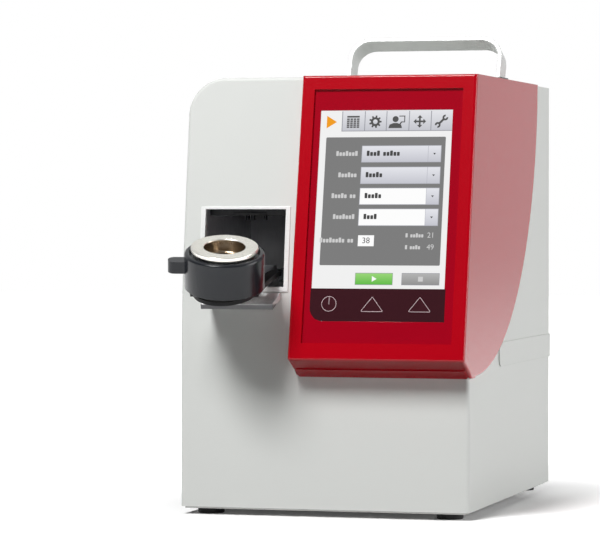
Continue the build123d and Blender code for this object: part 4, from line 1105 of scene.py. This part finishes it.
x, y = tab_centre(5)
shape(
    picture,
    turned_points(
        box_points(x - 0.62 * symbol, y - 0.17 * symbol, x + 0.62 * symbol, y + 0.17 * symbol),
        x,
        y,
        45,
    ),
    2,
    icon_grey,
)
for side in (-1, 1):
    jaw_x, jaw_y = x + side * 0.58 * symbol, y + side * 0.58 * symbol
    gap_way = radians(45 if side > 0 else 225)
    start, span = gap_way + radians(38), radians(284)
    jaw = ring_points(jaw_x, jaw_y, 0.46 * symbol, 22, start, span)
    jaw += ring_points(jaw_x, jaw_y, 0.17 * symbol, 22, start, span)[::-1]
    shape(picture, jaw, 2, icon_grey)

# The form: four fields, each with its label, then a number box and two readings.
patch(picture, (0.049, 0.958), (0.151, 0.871), 1, panel_grey, 0.0009)
field_left, field_right, field_drop = 0.330, 0.925, 0.832
field_rim_u, field_rim_v = 0.004, 0.003
entry_inset, label_right = 0.035, 0.300
text_height = 0.0040
label_height = text_height * 0.92
rows = (
    (0.202, 0.291, field_grey, (7,), (4, 5)),
    (0.322, 0.412, field_grey, (6,), (5,)),
    (0.440, 0.529, field_white, (5, 2), (5,)),
    (0.557, 0.647, field_white, (7,), (4,)),
)
for top, foot, face, label, entry in rows:
    middle = (top + foot) / 2
    rim_across = (field_left - field_rim_u, field_right + field_rim_u)
    rim_down = (top - field_rim_v, foot + field_rim_v)
    patch(picture, rim_across, rim_down, 2, field_edge)
    patch(picture, (field_left, field_right), (top, foot), 3, face)
    patch(picture, (field_drop, field_right), (top, foot), 4, field_grey)
    patch(picture, (field_drop - 0.003, field_drop), (top, foot), 5, field_edge)
    x, y = screen_point((field_drop + field_right) / 2, middle)
    pointer = [(x - 0.0011, y + 0.0006), (x, y - 0.0008), (x + 0.0011, y + 0.0006)]
    shape(picture, pointer, 5, ink_dark)
    word_bar(picture, field_left + entry_inset, middle, text_height, entry, 4, ink_dark)
    word_bar(picture, label_right, middle, label_height, label, 2, label_white, True)
patch(picture, (0.332, 0.453), (0.703, 0.764), 3, field_white)
word_bar(picture, label_right, 0.734, label_height, (8, 2), 2, label_white, True)
reading_left, reading_middle, reading_height = 0.690, 0.880, text_height * 0.78
word_bar(picture, reading_left, 0.706, reading_height, (1, 5), 2, label_white)
word_bar(picture, reading_left, 0.772, reading_height, (1, 4), 2, label_white)

# The two buttons: start and stop.
button_top, button_foot, button_middle, button_rim = 0.9125, 0.980, 0.946, 0.003
for left, right, face in ((0.325, 0.610, run_green), (0.676, 0.961, stop_grey)):
    inner_across = (left + button_rim, right - button_rim)
    inner_down = (button_top + button_rim, button_foot - button_rim)
    patch(picture, (left, right), (button_top, button_foot), 2, edge_grey)
    patch(picture, inner_across, inner_down, 3, face)
x, y = screen_point(0.4675, button_middle)
start_mark = [(x - 0.0015, y - 0.0021), (x + 0.0021, y), (x - 0.0015, y + 0.0021)]
shape(picture, start_mark, 4, field_white)
x, y = screen_point(0.8185, button_middle)
stop_half = 0.0018
stop_mark = box_points(x - stop_half, y - stop_half, x + stop_half, y + stop_half)
shape(picture, stop_mark, 4, label_white)


def add_number(made, text, u, v, size, level, finish):
    """Digits turned into a flat mesh and laid on the picture, centred on a place."""
    curve = bpy.data.curves.new("number", "FONT")
    curve.body = text
    curve.size = size
    curve.align_x = "CENTER"
    curve.align_y = "CENTER"
    holder = bpy.data.objects.new("number", curve)
    flat = bpy.data.meshes.new_from_object(holder)
    before = len(made.verts)
    made.from_mesh(flat)
    made.verts.ensure_lookup_table()
    x, y = screen_point(u, v)
    digits = made.verts[before:]
    bmesh.ops.translate(made, vec=(x, y, screen_level + level * layer), verts=digits)
    for face in {face for vert in digits for face in vert.link_faces}:
        face.material_index = finish
    bpy.data.objects.remove(holder)
    bpy.data.curves.remove(curve)
    bpy.data.meshes.remove(flat)


add_number(picture, "38", 0.3925, 0.7335, 0.0062, 4, ink_dark)
add_number(picture, "21", reading_middle, 0.703, 0.0056, 2, label_white)
add_number(picture, "49", reading_middle, 0.769, 0.0056, 2, label_white)
picture.transform(face_place)
finish_piece("screen_picture", picture, screen_finishes, "root")


# The keys carry a thin printed outline just inside their edges.
def key_symbol(node, line, with_bar):
    """The outline of a key's front, as printed ink that rides on the key."""
    made = merged(node)
    made.faces.ensure_lookup_table()
    level = max(vert.co.dot(face_out) for vert in made.verts)
    front = [
        face
        for face in made.faces
        if all(vert.co.dot(face_out) > level - front_depth for vert in face.verts)
    ]
    rest = [face for face in made.faces if face not in front]
    bmesh.ops.delete(made, geom=rest, context="FACES")
    inset = {"use_even_offset": True, "use_boundary": True}
    edge = bmesh.ops.inset_region(
        made, faces=made.faces[:], thickness=line * 0.4, **inset
    )["faces"]
    inside = [face for face in made.faces if face not in edge]
    bmesh.ops.delete(made, geom=edge, context="FACES")
    edge = bmesh.ops.inset_region(made, faces=inside, thickness=line, **inset)["faces"]
    inside = [face for face in made.faces if face not in edge]
    bmesh.ops.delete(made, geom=inside, context="FACES")
    if with_bar:
        spots = [vert.co for vert in made.verts]
        x = sum(spot.x for spot in spots) / len(spots)
        ups = [spot.dot(face_up) for spot in spots]
        middle, high = (min(ups) + max(ups)) / 2, max(ups)
        bar = bmesh.new()
        raised(
            bar,
            box_points(x - line / 2, middle - line, x + line / 2, high - line / 2),
            level,
            level + layer / 2,
        )
        bar.transform(face_place)
        add_shape(made, bar)
    bmesh.ops.translate(made, vec=face_out * layer, verts=made.verts)
    finish_piece(f"{node}_symbol", made, [key_ink], body_of_node[node])


key_ink = printed_ink("key_ink", srgb(214, 190, 194))
key_line = 0.00034
key_symbol("power_key", key_line, True)
key_symbol("left_arrow_key", key_line, False)
key_symbol("right_arrow_key", key_line, False)

# ------------------------------------------------------------ floor and light
floor_half = 6.0
floor_mesh = bmesh.new()
bmesh.ops.create_grid(floor_mesh, x_segments=1, y_segments=1, size=floor_half)
floor_data = bpy.data.meshes.new("floor")
floor_mesh.to_mesh(floor_data)
floor_mesh.free()
floor = bpy.data.objects.new("floor", floor_data)
bpy.context.scene.collection.objects.link(floor)

white_floor = Finish("white_floor")
seen = white_floor.node("ShaderNodeLightPath", output="Is Camera Ray")
mirrored = white_floor.node("ShaderNodeLightPath", output="Is Glossy Ray")
spot = white_floor.node("ShaderNodeTexCoord", output="Object")
reach = white_floor.node("ShaderNodeVectorMath", {"operation": "LENGTH"}, {0: spot}, "Value")
far = white_floor.ramp(reach, [(0.14, 0.04), (0.3, 0.85), (0.5, 1.0)])
floor_tone = white_floor.mix(seen + mirrored, srgb(134, 134, 134), srgb(248, 248, 248))
floor_diffuse = white_floor.node("ShaderNodeBsdfDiffuse", {}, {"Color": floor_tone})
floor_glow = white_floor.node(
    "ShaderNodeEmission", {}, {"Color": (1, 1, 1, 1), "Strength": (seen + mirrored) * far}
)
floor_sum = white_floor.node("ShaderNodeAddShader", {}, {0: floor_diffuse, 1: floor_glow})
white_floor.node("ShaderNodeOutputMaterial", {}, {"Surface": floor_sum})
floor_data.materials.append(white_floor.owner)

studio = bpy.data.worlds.new("studio")
bpy.context.scene.world = studio
room = Finish("studio", studio)
camera_ray = room.node("ShaderNodeLightPath", output="Is Camera Ray")
glossy_ray = room.node("ShaderNodeLightPath", output="Is Glossy Ray")
way = room.node("ShaderNodeTexCoord", output="Generated")
above_behind = room.node(
    "ShaderNodeVectorMath", {"operation": "DOT_PRODUCT"}, {0: way, 1: (0.0, 0.8, 0.6)}, "Value"
)
behind = room.ramp(above_behind * 0.5 + 0.5, [(0.22, 0.02), (0.5, 0.32), (0.85, 0.8)])
ambient = 0.04
mirror = room.mix(glossy_ray, (ambient, ambient, ambient, 1), behind)
backdrop = room.mix(camera_ray, mirror, (1, 1, 1, 1))
sky = room.node("ShaderNodeBackground", {}, {"Color": backdrop, "Strength": 1.0})
room.node("ShaderNodeOutputWorld", {}, {"Surface": sky})


def lamp(name, place, aim, size, power):
    """A square soft lamp that looks at a point."""
    light = bpy.data.lights.new(name, "AREA")
    light.size = size
    light.energy = power
    made = bpy.data.objects.new(name, light)
    bpy.context.scene.collection.objects.link(made)
    made.location = place
    made.rotation_euler = (Vector(aim) - Vector(place)).to_track_quat("-Z", "Y").to_euler()
    made.visible_camera = False
    return made


middle = (0.0, 0.0, 0.18)
lamp("key_light", (-0.80, -2.56, 3.14), middle, 1.15, 180.0)
lamp("side_light", (2.2, 0.3, 0.6), middle, 1.5, 37.0)
lamp("front_fill", (0.75, -3.1, 0.45), middle, 1.0, 8.0).visible_glossy = False

# --------------------------------------------------------------------- camera
camera_place = (0.63708, -2.42881, 0.22844)
camera_yaw = 15.76         # degrees that it looks towards the left
camera_dip = 1.156         # degrees that it looks down
camera_lens = 194.76       # mm
camera_sensor = 36.0       # mm wide

view_camera = bpy.data.cameras.new("camera")
view_camera.lens = camera_lens
view_camera.sensor_width = camera_sensor
view_camera.clip_end = 50.0
camera = bpy.data.objects.new("camera", view_camera)
bpy.context.scene.collection.objects.link(camera)
camera.location = camera_place
camera.rotation_euler = (radians(90 - camera_dip), 0, radians(camera_yaw))
bpy.context.scene.camera = camera
bpy.context.scene.view_settings.view_transform = "Standard"
